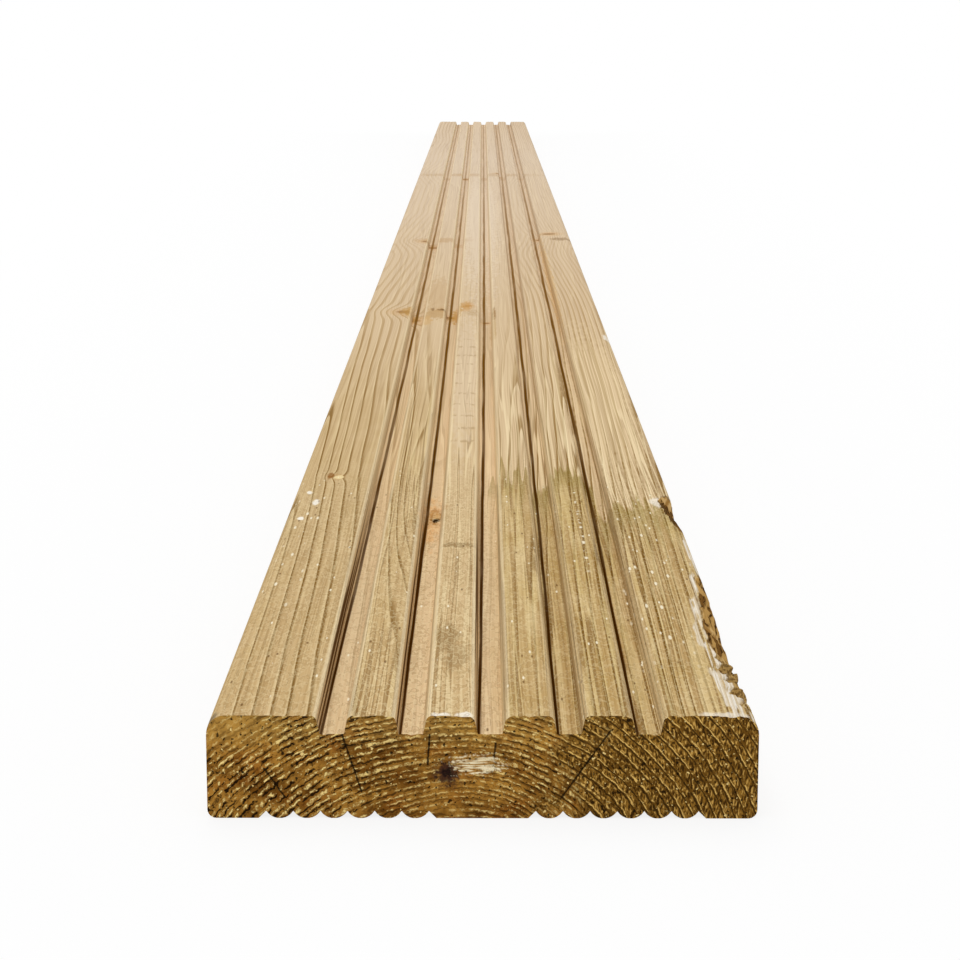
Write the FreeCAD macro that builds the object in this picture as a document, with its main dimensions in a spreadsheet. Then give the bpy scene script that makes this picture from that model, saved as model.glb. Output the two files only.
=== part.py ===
"""Grooved softwood decking board, one length of moulded stock.

The board lies flat with its broad grooves upwards. X runs across the width, Y along the
length and Z up. The origin is on the floor under the middle of the board.
"""
import FreeCAD
import Part
import Sketcher
import math
import os

# Driving dimensions in millimetres: name, value, what it sets on the board.
DIMENSIONS = (
    ("board_length", 3600.0, "length between the two sawn ends"),
    ("board_width", 145.0, "finished width"),
    ("board_thickness", 28.0, "finished thickness"),
    ("top_corner_radius", 5.0, "rounding of the two long upper corners"),
    ("bottom_corner_radius", 2.4, "rounding of the two long lower corners"),
    ("groove_count", 5, "broad grooves in the walking face"),
    ("groove_pitch", 20.76, "spacing of the broad grooves"),
    ("groove_offset", 2.0, "shift of the groove pattern to the right of the middle"),
    ("groove_depth", 5.0, "depth of a broad groove"),
    ("groove_floor_width", 6.4, "width of a groove floor"),
    ("groove_mouth_width", 8.5, "width between the groove walls at the walking face"),
    ("groove_shoulder_radius", 1.8, "rounding where a groove wall meets the walking face"),
    ("bead_count", 6, "round beads in each half of the underside"),
    ("bead_pitch", 7.15, "spacing of the beads"),
    ("bead_crown_width", 1.2, "flat left on each bead by the planed underside"),
    ("valley_depth", 2.0, "depth of the valleys between beads"),
    ("middle_flat_width", 24.2, "plain strip along the middle of the underside"),
    ("flank_width", 2.0, "run of the straight flank from a plain strip into its valley"),
    ("pith_offset", -8.7, "place of the heart of the log across the width"),
    ("pith_below", 35.0, "depth of the heart of the log under the underside"),
    ("wane_depth", 1.6, "how far the log surface lies inside the right upper corner"),
    ("wane_length", 300.0, "length of log surface left on that corner, from the near end"),
    ("wane_runout", 24.0, "length in which the log surface swells out of the corner"),
)

# The sketcher's own numbers for the places on an edge, the two sketch axes and the origin.
START, END, CENTRE = range(1, 4)
HORIZONTAL_AXIS, VERTICAL_AXIS = range(-1, -3, -1)
ROOT_POINT = (HORIZONTAL_AXIS, START)

# Places worked out from the driving dimensions.
FIRST_GROOVE = "(Sizes.groove_offset - (Sizes.groove_count - 1) * Sizes.groove_pitch / 2)"
INNER_VALLEY = "(Sizes.middle_flat_width / 2 + Sizes.flank_width)"
SECOND_VALLEY = f"({INNER_VALLEY} + Sizes.bead_pitch)"
OUTER_VALLEY = f"({INNER_VALLEY} + Sizes.bead_count * Sizes.bead_pitch)"
ROUND_FLANK = "((Sizes.bead_pitch - Sizes.bead_crown_width) / 2)"
STRAIGHT_FLANK = "Sizes.flank_width"
CORNER_ACROSS = "(Sizes.board_width / 2 - Sizes.top_corner_radius - Sizes.pith_offset)"
CORNER_ABOVE = "(Sizes.board_thickness - Sizes.top_corner_radius + Sizes.pith_below)"
CORNER_REACH = f"(sqrt({CORNER_ACROSS} ^ 2 + {CORNER_ABOVE} ^ 2) + Sizes.top_corner_radius)"

document = FreeCAD.newDocument("DeckingBoard")
sheet = document.addObject("Spreadsheet::Sheet", "Sizes")
for row, (alias, number, meaning) in enumerate(DIMENSIONS, start=1):
    sheet.set(f"A{row}", meaning)
    sheet.set(f"B{row}", str(number))
    sheet.setAlias(f"B{row}", alias)
document.recompute()

board = document.addObject("PartDesign::Body", "Board")
board.Label = "decking_board"


def size(formula):
    """Work out a formula of the sheet's values as a plain number."""
    return float(sheet.evalExpression(formula))


def origin_feature(role):
    """Return the plane or axis of the board's own origin that has this role."""
    return next(item for item in board.Origin.OriginFeatures if item.Role == role)


def sketch_on(role, name):
    """Add an empty sketch to the board on one of its origin planes."""
    sketch = board.newObject("Sketcher::SketchObject", name)
    sketch.AttachmentSupport = [(origin_feature(role), "")]
    sketch.MapMode = "FlatFace"
    return sketch


def bind(sketch, name, kind, formula, *places):
    """Add a driving constraint whose value follows a formula of the sheet."""
    index = sketch.addConstraint(Sketcher.Constraint(kind, *places, size(formula)))
    sketch.renameConstraint(index, name)
    sketch.setExpression(f"Constraints.{name}", formula)


def join_loop(sketch, edges):
    """Join each edge's end to the next edge's start, and the last edge to the first."""
    for edge, following in zip(edges, edges[1:] + edges[:1]):
        sketch.addConstraint(Sketcher.Constraint("Coincident", edge, END, following, START))


def outline(sketch, corners):
    """Draw a closed outline of straight edges and return the numbers of its edges."""
    points = [FreeCAD.Vector(x, y, 0) for x, y in corners]
    sides = [Part.LineSegment(a, b) for a, b in zip(points, points[1:] + points[:1])]
    edges = list(sketch.addGeometry(sides, False))
    join_loop(sketch, edges)
    return edges


def through_cut(sketch, name):
    """Cut a sketched section from end to end of the board."""
    cut = board.newObject("PartDesign::Pocket", name)
    cut.Profile = sketch
    cut.Type = "ThroughAll"
    cut.SideType = "Symmetric"
    return cut


def lengthwise_edges(shape, places):
    """Name the edges that run along the board at the given (x, z) places."""
    slack = 1e-4
    names = []
    for number, edge in enumerate(shape.Edges, start=1):
        box = edge.BoundBox
        thin = box.XLength < slack and box.ZLength < slack
        for x, z in places:
            if thin and abs(box.XMin - x) < slack and abs(box.ZMin - z) < slack:
                names.append(f"Edge{number}")
    return names


def round_edges(base, name, radius, places):
    """Round the lengthwise edges at the given places."""
    document.recompute()
    rounding = board.newObject("PartDesign::Fillet", name)
    rounding.Base = (base, lengthwise_edges(base.Shape, places))
    rounding.setExpression("Radius", radius)
    return rounding


# Planed blank: a plain rectangle carried along the length.
half_width = size("Sizes.board_width / 2")
thickness = size("Sizes.board_thickness")
blank_section = sketch_on("XZ_Plane", "BlankSection")
bottom, right, top, left = outline(
    blank_section,
    ((-half_width, 0), (half_width, 0), (half_width, thickness), (-half_width, thickness)),
)
blank_section.addConstraint(Sketcher.Constraint("Horizontal", top))
for edge in (right, left):
    blank_section.addConstraint(Sketcher.Constraint("Vertical", edge))
blank_section.addConstraint(Sketcher.Constraint("PointOnObject", bottom, START, HORIZONTAL_AXIS))
blank_section.addConstraint(
    Sketcher.Constraint("Symmetric", bottom, START, bottom, END, VERTICAL_AXIS)
)
bind(blank_section, "width", "DistanceX", "Sizes.board_width", bottom, START, bottom, END)
bind(blank_section, "thickness", "DistanceY", "Sizes.board_thickness", right, START, right, END)

blank = board.newObject("PartDesign::Pad", "Blank")
blank.Profile = blank_section
blank.SideType = "Symmetric"
blank.setExpression("Length", "Sizes.board_length")

# Long corners, rounded more on the walking face than underneath.
top_corners = round_edges(
    blank,
    "TopCorners",
    "Sizes.top_corner_radius",
    ((-half_width, thickness), (half_width, thickness)),
)
bottom_corners = round_edges(
    top_corners,
    "BottomCorners",
    "Sizes.bottom_corner_radius",
    ((-half_width, 0), (half_width, 0)),
)

# Broad grooves: one tapered channel, repeated across the walking face.
groove_depth = size("Sizes.groove_depth")
half_floor = size("Sizes.groove_floor_width / 2")
half_mouth = size("Sizes.groove_mouth_width / 2")
first_groove = size(FIRST_GROOVE)
groove_section = sketch_on("XZ_Plane", "GrooveSection")
floor, _, mouth, _ = outline(
    groove_section,
    (
        (first_groove - half_floor, thickness - groove_depth),
        (first_groove + half_floor, thickness - groove_depth),
        (first_groove + half_mouth, thickness),
        (first_groove - half_mouth, thickness),
    ),
)
for edge in (floor, mouth):
    groove_section.addConstraint(Sketcher.Constraint("Horizontal", edge))
floor_left = f"{FIRST_GROOVE} - Sizes.groove_floor_width / 2"
mouth_left = f"{FIRST_GROOVE} - Sizes.groove_mouth_width / 2"
bind(groove_section, "floor_width", "DistanceX", "Sizes.groove_floor_width", floor, START, floor, END)
bind(groove_section, "mouth_width", "DistanceX", "Sizes.groove_mouth_width", mouth, END, mouth, START)
bind(groove_section, "floor_left", "DistanceX", floor_left, *ROOT_POINT, floor, START)
bind(groove_section, "mouth_left", "DistanceX", mouth_left, *ROOT_POINT, mouth, END)
bind(groove_section, "mouth_height", "DistanceY", "Sizes.board_thickness", *ROOT_POINT, mouth, END)
bind(groove_section, "depth", "DistanceY", "Sizes.groove_depth", floor, START, mouth, END)
groove = through_cut(groove_section, "Groove")

grooves = board.newObject("PartDesign::LinearPattern", "Grooves")
grooves.Originals = [groove]
grooves.Direction = (origin_feature("X_Axis"), [""])
grooves.setExpression("Length", "(Sizes.groove_count - 1) * Sizes.groove_pitch")
grooves.setExpression("Occurrences", "Sizes.groove_count")
board.Tip = grooves

groove_pitch = size("Sizes.groove_pitch")
groove_centres = [
    first_groove + number * groove_pitch for number in range(int(size("Sizes.groove_count")))
]
shoulders = round_edges(
    grooves,
    "GrooveShoulders",
    "Sizes.groove_shoulder_radius",
    [(x + side * half_mouth, thickness) for x in groove_centres for side in (-1, 1)],
)


def round_flank(section, valley, side):
    """Draw the round flank of the bead on one side of a valley, as an arc.

    The bead's round is centred on the bead's own middle line, half a pitch from the valley.
    It passes through the valley and through the edge of the flat on the bead's crown, so
    equal distances to both points give the height of its centre.
    """
    pitch = size("Sizes.bead_pitch")
    crown = size("Sizes.bead_crown_width")
    depth = size("Sizes.valley_depth")
    height = ((pitch / 2) ** 2 - (crown / 2) ** 2 + depth ** 2) / (2 * depth)
    middle = FreeCAD.Vector(valley + side * pitch / 2, height, 0)
    bead = Part.Circle(middle, FreeCAD.Vector(0, 0, 1), math.hypot(height, crown / 2))
    to_valley = math.atan2(depth - height, -side * pitch / 2) % (2 * math.pi)
    to_crown = math.atan2(-height, -side * crown / 2) % (2 * math.pi)
    return section.addGeometry(Part.ArcOfCircle(bead, *sorted((to_valley, to_crown))), False)


def straight_flank(section, valley, side):
    """Draw the straight flank from a valley to the plain strip on one side of it."""
    bottom_point = FreeCAD.Vector(valley, size("Sizes.valley_depth"), 0)
    strip_edge = FreeCAD.Vector(valley + side * size(STRAIGHT_FLANK), 0, 0)
    ends = (strip_edge, bottom_point) if side < 0 else (bottom_point, strip_edge)
    return section.addGeometry(Part.LineSegment(*ends), False)


def draw_valley(section, name, place, left_run, right_run):
    """Draw one valley: two flanks that meet at its bottom, closed along the underside.

    Each flank is given by its run, which is that of a round or of a straight flank.
    """
    valley = size(place)
    runs = {-1: left_run, 1: right_run}
    flanks = {}
    for side, run in runs.items():
        draw_flank = round_flank if run == ROUND_FLANK else straight_flank
        flanks[side] = draw_flank(section, valley, side)
    left_end = FreeCAD.Vector(valley - size(left_run), 0, 0)
    right_end = FreeCAD.Vector(valley + size(right_run), 0, 0)
    mouth = section.addGeometry(Part.LineSegment(right_end, left_end), False)
    join_loop(section, [flanks[-1], flanks[1], mouth])
    section.addConstraint(Sketcher.Constraint("Horizontal", mouth))
    section.addConstraint(Sketcher.Constraint("PointOnObject", mouth, START, HORIZONTAL_AXIS))
    bottom_point = (flanks[-1], END)
    bind(section, f"{name}_place", "DistanceX", place, *ROOT_POINT, *bottom_point)
    bind(section, f"{name}_depth", "DistanceY", "Sizes.valley_depth", *ROOT_POINT, *bottom_point)
    bind(section, f"{name}_left_run", "DistanceX", left_run, mouth, END, *bottom_point)
    bind(section, f"{name}_right_run", "DistanceX", right_run, *bottom_point, mouth, START)
    half_pitch = "Sizes.bead_pitch / 2"
    if left_run == ROUND_FLANK:
        bind(section, f"{name}_left_bead", "DistanceX", half_pitch, flanks[-1], CENTRE, *bottom_point)
    if right_run == ROUND_FLANK:
        bind(section, f"{name}_right_bead", "DistanceX", half_pitch, *bottom_point, flanks[1], CENTRE)


# Reeded underside: valleys between beads, repeated and mirrored to the other half.
between_section = sketch_on("XZ_Plane", "ValleyBetweenBeads")
draw_valley(between_section, "valley", SECOND_VALLEY, ROUND_FLANK, ROUND_FLANK)
between_cut = through_cut(between_section, "ValleyCut")

across_beads = board.newObject("PartDesign::LinearPattern", "AcrossBeads")
across_beads.Direction = (origin_feature("X_Axis"), [""])
across_beads.setExpression("Length", "(Sizes.bead_count - 2) * Sizes.bead_pitch")
across_beads.setExpression("Occurrences", "Sizes.bead_count - 1")
other_half = board.newObject("PartDesign::Mirrored", "OtherHalf")
other_half.MirrorPlane = (origin_feature("YZ_Plane"), [""])
reeds = board.newObject("PartDesign::MultiTransform", "Reeds")
reeds.Originals = [between_cut]
reeds.Transformations = [across_beads, other_half]
board.Tip = reeds

# End valleys of each reeded band, with a straight flank towards the plain strip.
end_section = sketch_on("XZ_Plane", "EndValleys")
draw_valley(end_section, "inner", INNER_VALLEY, STRAIGHT_FLANK, ROUND_FLANK)
draw_valley(end_section, "outer", OUTER_VALLEY, ROUND_FLANK, STRAIGHT_FLANK)
end_cut = through_cut(end_section, "EndValleyCut")

end_valleys = board.newObject("PartDesign::Mirrored", "EndValleysBothHalves")
end_valleys.Originals = [end_cut]
end_valleys.MirrorPlane = (origin_feature("YZ_Plane"), [""])
board.Tip = end_valleys

# Wane: the round of the log itself, turned about its heart, takes the right upper corner off
# at the near end and swells out of it further along.
wane_section = sketch_on("YZ_Plane", "WaneSection")
wane_section.setExpression("AttachmentOffset.Base.z", "Sizes.pith_offset")
near_end = size("-Sizes.board_length / 2")
heart = size("-Sizes.pith_below")
reach = size(CORNER_REACH)
wane_depth = size("Sizes.wane_depth")
wane_end = near_end + size("Sizes.wane_length")
runout_start = wane_end - size("Sizes.wane_runout")
end_edge, outer_edge, runout_edge, log_edge = outline(
    wane_section,
    (
        (near_end, heart + reach - wane_depth),
        (near_end, heart + reach + wane_depth),
        (wane_end, heart + reach + wane_depth),
        (runout_start, heart + reach - wane_depth),
    ),
)
heart_line = wane_section.addGeometry(
    Part.LineSegment(FreeCAD.Vector(near_end, heart, 0), FreeCAD.Vector(0, heart, 0)), True
)
wane_section.addConstraint(Sketcher.Constraint("Vertical", end_edge))
for edge in (outer_edge, log_edge, heart_line):
    wane_section.addConstraint(Sketcher.Constraint("Horizontal", edge))
wane_section.addConstraint(Sketcher.Constraint("PointOnObject", heart_line, END, VERTICAL_AXIS))
wane_section.addConstraint(Sketcher.Constraint("Vertical", heart_line, START, end_edge, START))
log_radius = f"{CORNER_REACH} - Sizes.wane_depth"
bind(wane_section, "heart", "DistanceY", "-Sizes.pith_below", *ROOT_POINT, heart_line, END)
bind(wane_section, "near_end", "DistanceX", "-Sizes.board_length / 2", *ROOT_POINT, end_edge, START)
bind(wane_section, "log_radius", "DistanceY", log_radius, heart_line, START, end_edge, START)
bind(wane_section, "rise", "DistanceY", "2 * Sizes.wane_depth", end_edge, START, end_edge, END)
bind(wane_section, "run", "DistanceX", "Sizes.wane_length", outer_edge, START, outer_edge, END)
bind(wane_section, "runout", "DistanceX", "Sizes.wane_runout", runout_edge, END, runout_edge, START)
wane = board.newObject("PartDesign::Groove", "Wane")
wane.Profile = wane_section
wane.ReferenceAxis = (wane_section, ["Axis0"])
wane.Angle = 360.0
board.Tip = wane

document.recompute()


def check_model():
    """Stop if any feature failed, a cut removed nothing or the board isn't one sound solid."""
    for item in document.Objects:
        if "Invalid" in item.State or "Error" in item.State:
            raise RuntimeError(f"{item.Name} did not build: {item.State}")
    cuts = (blank, top_corners, bottom_corners, grooves, shoulders, reeds, end_valleys, wane)
    for before, after in zip(cuts, cuts[1:]):
        removed = before.Shape.Volume - after.Shape.Volume
        print(f"{after.Name} takes off {removed:.0f} cubic mm")
        if removed <= 0:
            raise RuntimeError(f"{after.Name} cuts nothing")
    if board.Shape.isNull() or not board.Shape.isValid() or len(board.Shape.Solids) != 1:
        raise RuntimeError("the board is not one valid solid")


check_model()
os.makedirs("parts", exist_ok=True)
board.Shape.exportStep(os.path.join("parts", f"{board.Label}.step"))
print(f"{board.Label}: {board.Shape.Volume / 1e6:.3f} litres, {len(board.Shape.Faces)} faces")
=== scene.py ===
# %% [markdown]
# # A grooved decking board
#
# The board is one length of pressure-treated softwood. Its walking face has five broad grooves,
# its underside is reeded with round beads, and at the near end a strip of the log's own round
# skin, called wane, is left on the right upper corner. The packed frame holds the moulded
# section. This lesson gives that section the skin of real timber: torn fibre, bark, cracks,
# growth rings, knots and the stain of the treatment.

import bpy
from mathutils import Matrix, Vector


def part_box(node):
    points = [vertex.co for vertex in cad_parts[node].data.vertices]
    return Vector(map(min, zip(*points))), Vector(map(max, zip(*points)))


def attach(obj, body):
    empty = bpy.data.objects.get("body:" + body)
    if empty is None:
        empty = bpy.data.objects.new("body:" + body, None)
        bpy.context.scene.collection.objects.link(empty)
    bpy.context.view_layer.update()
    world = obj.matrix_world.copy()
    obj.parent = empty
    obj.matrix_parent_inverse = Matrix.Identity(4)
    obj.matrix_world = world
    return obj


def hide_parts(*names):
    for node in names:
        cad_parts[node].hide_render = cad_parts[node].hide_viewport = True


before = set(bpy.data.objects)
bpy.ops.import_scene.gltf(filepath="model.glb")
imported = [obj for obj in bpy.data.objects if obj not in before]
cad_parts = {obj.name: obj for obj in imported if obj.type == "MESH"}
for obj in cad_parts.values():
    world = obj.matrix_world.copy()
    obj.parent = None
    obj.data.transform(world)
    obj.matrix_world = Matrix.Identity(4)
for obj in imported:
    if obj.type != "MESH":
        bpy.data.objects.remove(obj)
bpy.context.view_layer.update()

# %% Names and units
import math

import bpy
import numpy as np

MM = 0.001
NODE = "decking_board"
low_corner, high_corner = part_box(NODE)
HALF_WIDTH = high_corner.x / MM
THICKNESS = high_corner.z / MM
NEAR_END = low_corner.y / MM
LENGTH = high_corner.y / MM - NEAR_END
print(f"board {2 * HALF_WIDTH:.0f} x {THICKNESS:.0f} x {LENGTH:.0f} mm")

# %% [markdown]
# ## The moulded section
#
# A moulding machine planes all four sides in one pass, so every cut along the board has the same
# outline. The walking face and the underside are each a height over the width, and both can be
# written as plain formulas. Lifting the mesh from the frame would also work, but its long thin
# triangles give no points to move where fibre is torn, so the surface is worked out afresh.

# %% Walking face
GROOVE_OFFSET = 2.0
GROOVE_PITCH = 20.76
GROOVE_CENTRES = GROOVE_OFFSET + GROOVE_PITCH * np.arange(-2, 3)
GROOVE_DEPTH = 5.0
HALF_FLOOR = 3.2
HALF_MOUTH = 4.25
SHOULDER_RADIUS = 1.8
TOP_CORNER = 5.0
GROOVE_FLOOR = THICKNESS - GROOVE_DEPTH
WALL_ANGLE = math.atan2(GROOVE_DEPTH, HALF_MOUTH - HALF_FLOOR)
SHOULDER_TANGENT = SHOULDER_RADIUS * math.tan(WALL_ANGLE / 2)
SHOULDER_START = HALF_MOUTH + SHOULDER_TANGENT
WALL_END = HALF_MOUTH - SHOULDER_TANGENT * math.cos(WALL_ANGLE)


def corner_drop(x, radius):
    """How far a quarter round lies below its plane: radius less the height of the circle."""
    over = np.clip(np.abs(x) - HALF_WIDTH + radius, 0.0, radius)
    return radius - np.sqrt(radius ** 2 - over ** 2)


def walking_face(x):
    """Height of the top: a plane with quarter-round sides, cut by grooves.

    By the distance from the nearest groove's centre it is a flat floor, then a straight wall,
    then the arc of the shoulder, then the plane.
    """
    off = np.abs(x[:, None] - GROOVE_CENTRES).min(axis=1)
    wall = GROOVE_FLOOR + (off - HALF_FLOOR) * math.tan(WALL_ANGLE)
    inward = np.clip(SHOULDER_START - off, 0.0, SHOULDER_RADIUS)
    shoulder = THICKNESS - SHOULDER_RADIUS + np.sqrt(SHOULDER_RADIUS ** 2 - inward ** 2)
    stretches = [off < HALF_FLOOR, off < WALL_END, off < SHOULDER_START]
    height = np.select(stretches, [np.full_like(x, GROOVE_FLOOR), wall, shoulder], THICKNESS)
    return height - corner_drop(x, TOP_CORNER)


print(f"{len(GROOVE_CENTRES)} grooves with walls at {math.degrees(WALL_ANGLE):.0f} degrees")

# %% Underside
BEAD_PITCH = 7.15
BEAD_COUNT = 6
HALF_CROWN = 0.6
VALLEY_DEPTH = 2.0
FLANK = 2.0
INNER_VALLEY = 14.1
BOTTOM_CORNER = 2.4
OUTER_VALLEY = INNER_VALLEY + BEAD_COUNT * BEAD_PITCH
BEAD_HEIGHT = ((BEAD_PITCH / 2) ** 2 - HALF_CROWN ** 2 + VALLEY_DEPTH ** 2) / (2 * VALLEY_DEPTH)
BEAD_RADIUS = math.hypot(BEAD_HEIGHT, HALF_CROWN)


def underside(x):
    """Height of the bottom: plain strips at the middle and sides, round beads between.

    A bead is a circle planed flat on its crown, and a straight flank leads from each plain
    strip into the first and last valley.
    """
    off = np.abs(x)
    from_crown = np.abs((off - INNER_VALLEY) % BEAD_PITCH - BEAD_PITCH / 2)
    bead = BEAD_HEIGHT - np.sqrt(BEAD_RADIUS ** 2 - np.maximum(from_crown, HALF_CROWN) ** 2)
    inner_flank = np.clip(off - INNER_VALLEY + FLANK, 0.0, VALLEY_DEPTH)
    outer_flank = np.clip(OUTER_VALLEY + FLANK - off, 0.0, VALLEY_DEPTH)
    height = np.select([off < INNER_VALLEY, off < OUTER_VALLEY], [inner_flank, bead], outer_flank)
    return height + corner_drop(x, BOTTOM_CORNER)


print(f"{2 * BEAD_COUNT} beads of {BEAD_RADIUS:.2f} mm radius")

# %% Columns across, stations along, rows up the sides
COLUMN_GAP = 1.5
WANE_STRIP = 14.0
WANE_LENGTH = 312.0
END_STATIONS = (0.0, 0.5, 1.2, 2.4)
FINE_STATIONS = np.arange(4.0, 72.0, 2.0)
WANE_STATIONS = np.arange(72.0, WANE_LENGTH + 20.0, 4.0)
FAR_STATION_COUNT = 37
ROW_COUNT = 27


def column_places():
    """Places across the board that hold every edge of both faces; gaps too wide are halved."""
    quarter = np.linspace(0.0, math.pi / 2, 9)
    corners = HALF_WIDTH - TOP_CORNER * (1 - np.sin(quarter))
    shoulder = SHOULDER_START - SHOULDER_RADIUS * np.sin(np.linspace(0.0, WALL_ANGLE, 6))
    groove = np.r_[0.0, HALF_FLOOR / 2, HALF_FLOOR, (HALF_FLOOR + WALL_END) / 2, shoulder]
    beads = INNER_VALLEY + BEAD_PITCH * (np.arange(BEAD_COUNT) + 0.5)
    bead = np.r_[HALF_CROWN, np.linspace(1.4, BEAD_PITCH / 2, 4)]
    right_edge = np.linspace(HALF_WIDTH - WANE_STRIP, HALF_WIDTH - TOP_CORNER, 15)
    half = np.r_[corners, INNER_VALLEY - FLANK, OUTER_VALLEY + FLANK]
    half = np.r_[half, (beads[:, None] + np.r_[-bead, bead]).ravel()]
    grooves = (GROOVE_CENTRES[:, None] + np.r_[-groove, groove]).ravel()
    places = np.unique(np.round(np.r_[-half, half, grooves, right_edge, 0.0], 1))
    for _ in range(3):
        gaps = np.diff(places)
        wide = gaps > COLUMN_GAP
        places = np.sort(np.r_[places, places[:-1][wide] + gaps[wide] / 2])
    return places


columns = column_places()
far_stations = np.linspace(WANE_STATIONS[-1], LENGTH, FAR_STATION_COUNT + 1)[1:]
stations = np.r_[END_STATIONS, FINE_STATIONS, WANE_STATIONS, far_stations]
rows = np.linspace(0.0, 1.0, ROW_COUNT)
top_line = walking_face(columns)
bottom_line = underside(columns)
print(f"{len(columns)} columns, {len(stations)} stations, {len(rows)} rows")

# %% [markdown]
# ## Wane, bark and torn fibre
#
# Wane is where the saw ran out of log: the corner follows the round of the trunk instead of the
# square of the board. Some bark still clings to it, and where the planer met bare fibre it tore
# out pale strips. Sculpting by hand would do, but the log is a circle about its heart, so every
# point that lies outside that circle is simply drawn in towards the heart until it lies on it.

# %% Noise for torn fibre
HEART_X = -8.7
HEART_Z = -35.0
LATTICE = 64


def lattice_noise(u, v, size, seed):
    """Smooth noise from -1 to 1: random heights on a lattice whose cells measure size, in mm,
    blended between its points by 3f^2 - 2f^3.
    """
    heights = np.random.default_rng(seed).uniform(-1.0, 1.0, (LATTICE, LATTICE))
    u, v = np.broadcast_arrays(u / size[0], v / size[1])
    cell_u = np.floor(u).astype(int)
    cell_v = np.floor(v).astype(int)
    blend_u = (u - cell_u) ** 2 * (3 - 2 * (u - cell_u))
    blend_v = (v - cell_v) ** 2 * (3 - 2 * (v - cell_v))
    first, second = (
        heights[cell_u % LATTICE, (cell_v + ahead) % LATTICE] * (1 - blend_u)
        + heights[(cell_u + 1) % LATTICE, (cell_v + ahead) % LATTICE] * blend_u
        for ahead in (0, 1)
    )
    return first * (1 - blend_v) + second * blend_v


def rise(value, start, end):
    """Smooth step: 0 before start, 1 after end, 3f^2 - 2f^3 between."""
    share = np.clip((value - start) / (end - start), 0.0, 1.0)
    return share ** 2 * (3 - 2 * share)


def stretch(along, start, end, ease=4.0):
    """1 between two places along the board, eased to 0 outside them."""
    return rise(along, start - ease, start + ease) * rise(-along, -end - ease, -end + ease)


print(f"heart of the log {-HEART_Z:.0f} mm below the underside")

# %% The log's round on the right corner
# Distance from the near end, and how far from the middle the walking face then ends.
WANE_EDGE = np.array((
    (0, 71.6), (14, 70.8), (32, 68.8), (55, 67.4), (80, 65.8), (96, 66.2), (120, 67.6),
    (150, 68.4), (166, 68.6), (174, 71.6), (205, 71.8), (236, 71.4), (246, 68.4), (272, 66.8),
    (292, 66.0), (300, 67.6), (WANE_LENGTH, 71.9),
))
WANE_FRAY = 0.5
RIDGE_HEIGHT = 0.25
LUMP_HEIGHT = 0.25
BARK_PATCHES = ((244, 298), (104, 170), (76, 96))
BARK_THICKNESS = 0.9
SPLINTERS = (6, 15, 30, 39, 54)
SPLINTER_LENGTH = 8.0
SPLINTER_HEIGHT = 3.6
NOTCHES = (8, 62)
NOTCH_DEPTH = 2.2
MM_PER_RADIAN = 100.0
SQUARE_END = 1.0


def wane_edge(along):
    """Ragged end of the walking face: a line through the listed places, frayed by noise."""
    return np.interp(along, *WANE_EDGE.T) + WANE_FRAY * lattice_noise(along, 0.0, (6, 1), seed=3)


def bark_cover(along):
    """1 where bark still clings to the wane."""
    return np.max([stretch(along, *patch, ease=2.0) for patch in BARK_PATCHES], axis=0)


def log_reach(x, z, along):
    """Radius of the bare log, the one that meets the walking face at the wane's edge, and of
    what stands on it: fibres as fine ridges, lumps, splinters and bark, less the notches.
    """
    bare = np.hypot(wane_edge(along) - HEART_X, THICKNESS - HEART_Z)
    around = np.arctan2(x - HEART_X, z - HEART_Z) * MM_PER_RADIAN
    ridges = RIDGE_HEIGHT * lattice_noise(along, around, (24, 0.9), seed=1)
    lumps = LUMP_HEIGHT * lattice_noise(along, around, (7, 2.6), seed=2)
    splinter = np.max([
        np.clip(1 - (along - tip) / SPLINTER_LENGTH, 0, 1) * (along >= tip) for tip in SPLINTERS
    ], axis=0)
    flaky = rise(lattice_noise(along, around, (5, 1.2), seed=5), -0.5, 0.2)
    crust = 0.75 + 0.5 * lattice_noise(along, around, (5, 3), seed=8)
    crust = crust * BARK_THICKNESS * bark_cover(along)
    notches = NOTCH_DEPTH * stretch(along, *NOTCHES) * (1 - splinter)
    return bare, bare + ridges + lumps + SPLINTER_HEIGHT * splinter * flaky + crust - notches


def draw_in(x, z, along):
    """Draw points outside the log in to its round, along the line to its heart.

    The sawn end itself stays square. Returns the new x and z and how far the point lay outside
    the bare log.
    """
    radius = np.hypot(x - HEART_X, z - HEART_Z)
    bare, rough = log_reach(x, z, along)
    square = along < SQUARE_END
    inside = np.where(square, 1.0, np.minimum(1.0, rough / radius))
    outside = np.where(square, 0.0, np.maximum(radius - bare, 0.0))
    return HEART_X + (x - HEART_X) * inside, HEART_Z + (z - HEART_Z) * inside, outside


print(f"wane {WANE_LENGTH:.0f} mm long with {len(BARK_PATCHES)} patches of bark")

# %% Fibre torn out of the walking face
# From and to along the board, and the width of the pale torn strip beside the wane.
TORN_STRIPS = ((-5, 50, 6.0), (44, 112, 2.8), (108, 172, 3.2), (172, 240, 2.4))
TORN_DEPTH = 0.35
ARRIS_CHIP = 0.35
ARRIS_REACH = 1.2


def torn_fibre(x, along):
    """How torn the walking face is, 0 to 1: strips beside the wane's edge, streaked by noise."""
    streak = lattice_noise(along, x, (30, 0.8), seed=7)
    inside = wane_edge(along) - x
    strips = [
        stretch(along, start, end, 9.0) * rise(width + 1.6 * streak - inside, 0.0, 1.5)
        for start, end, width in TORN_STRIPS
    ]
    return np.max(strips, axis=0) * rise(streak, -0.9, -0.1) * rise(inside, -0.8, 0.2)


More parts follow.
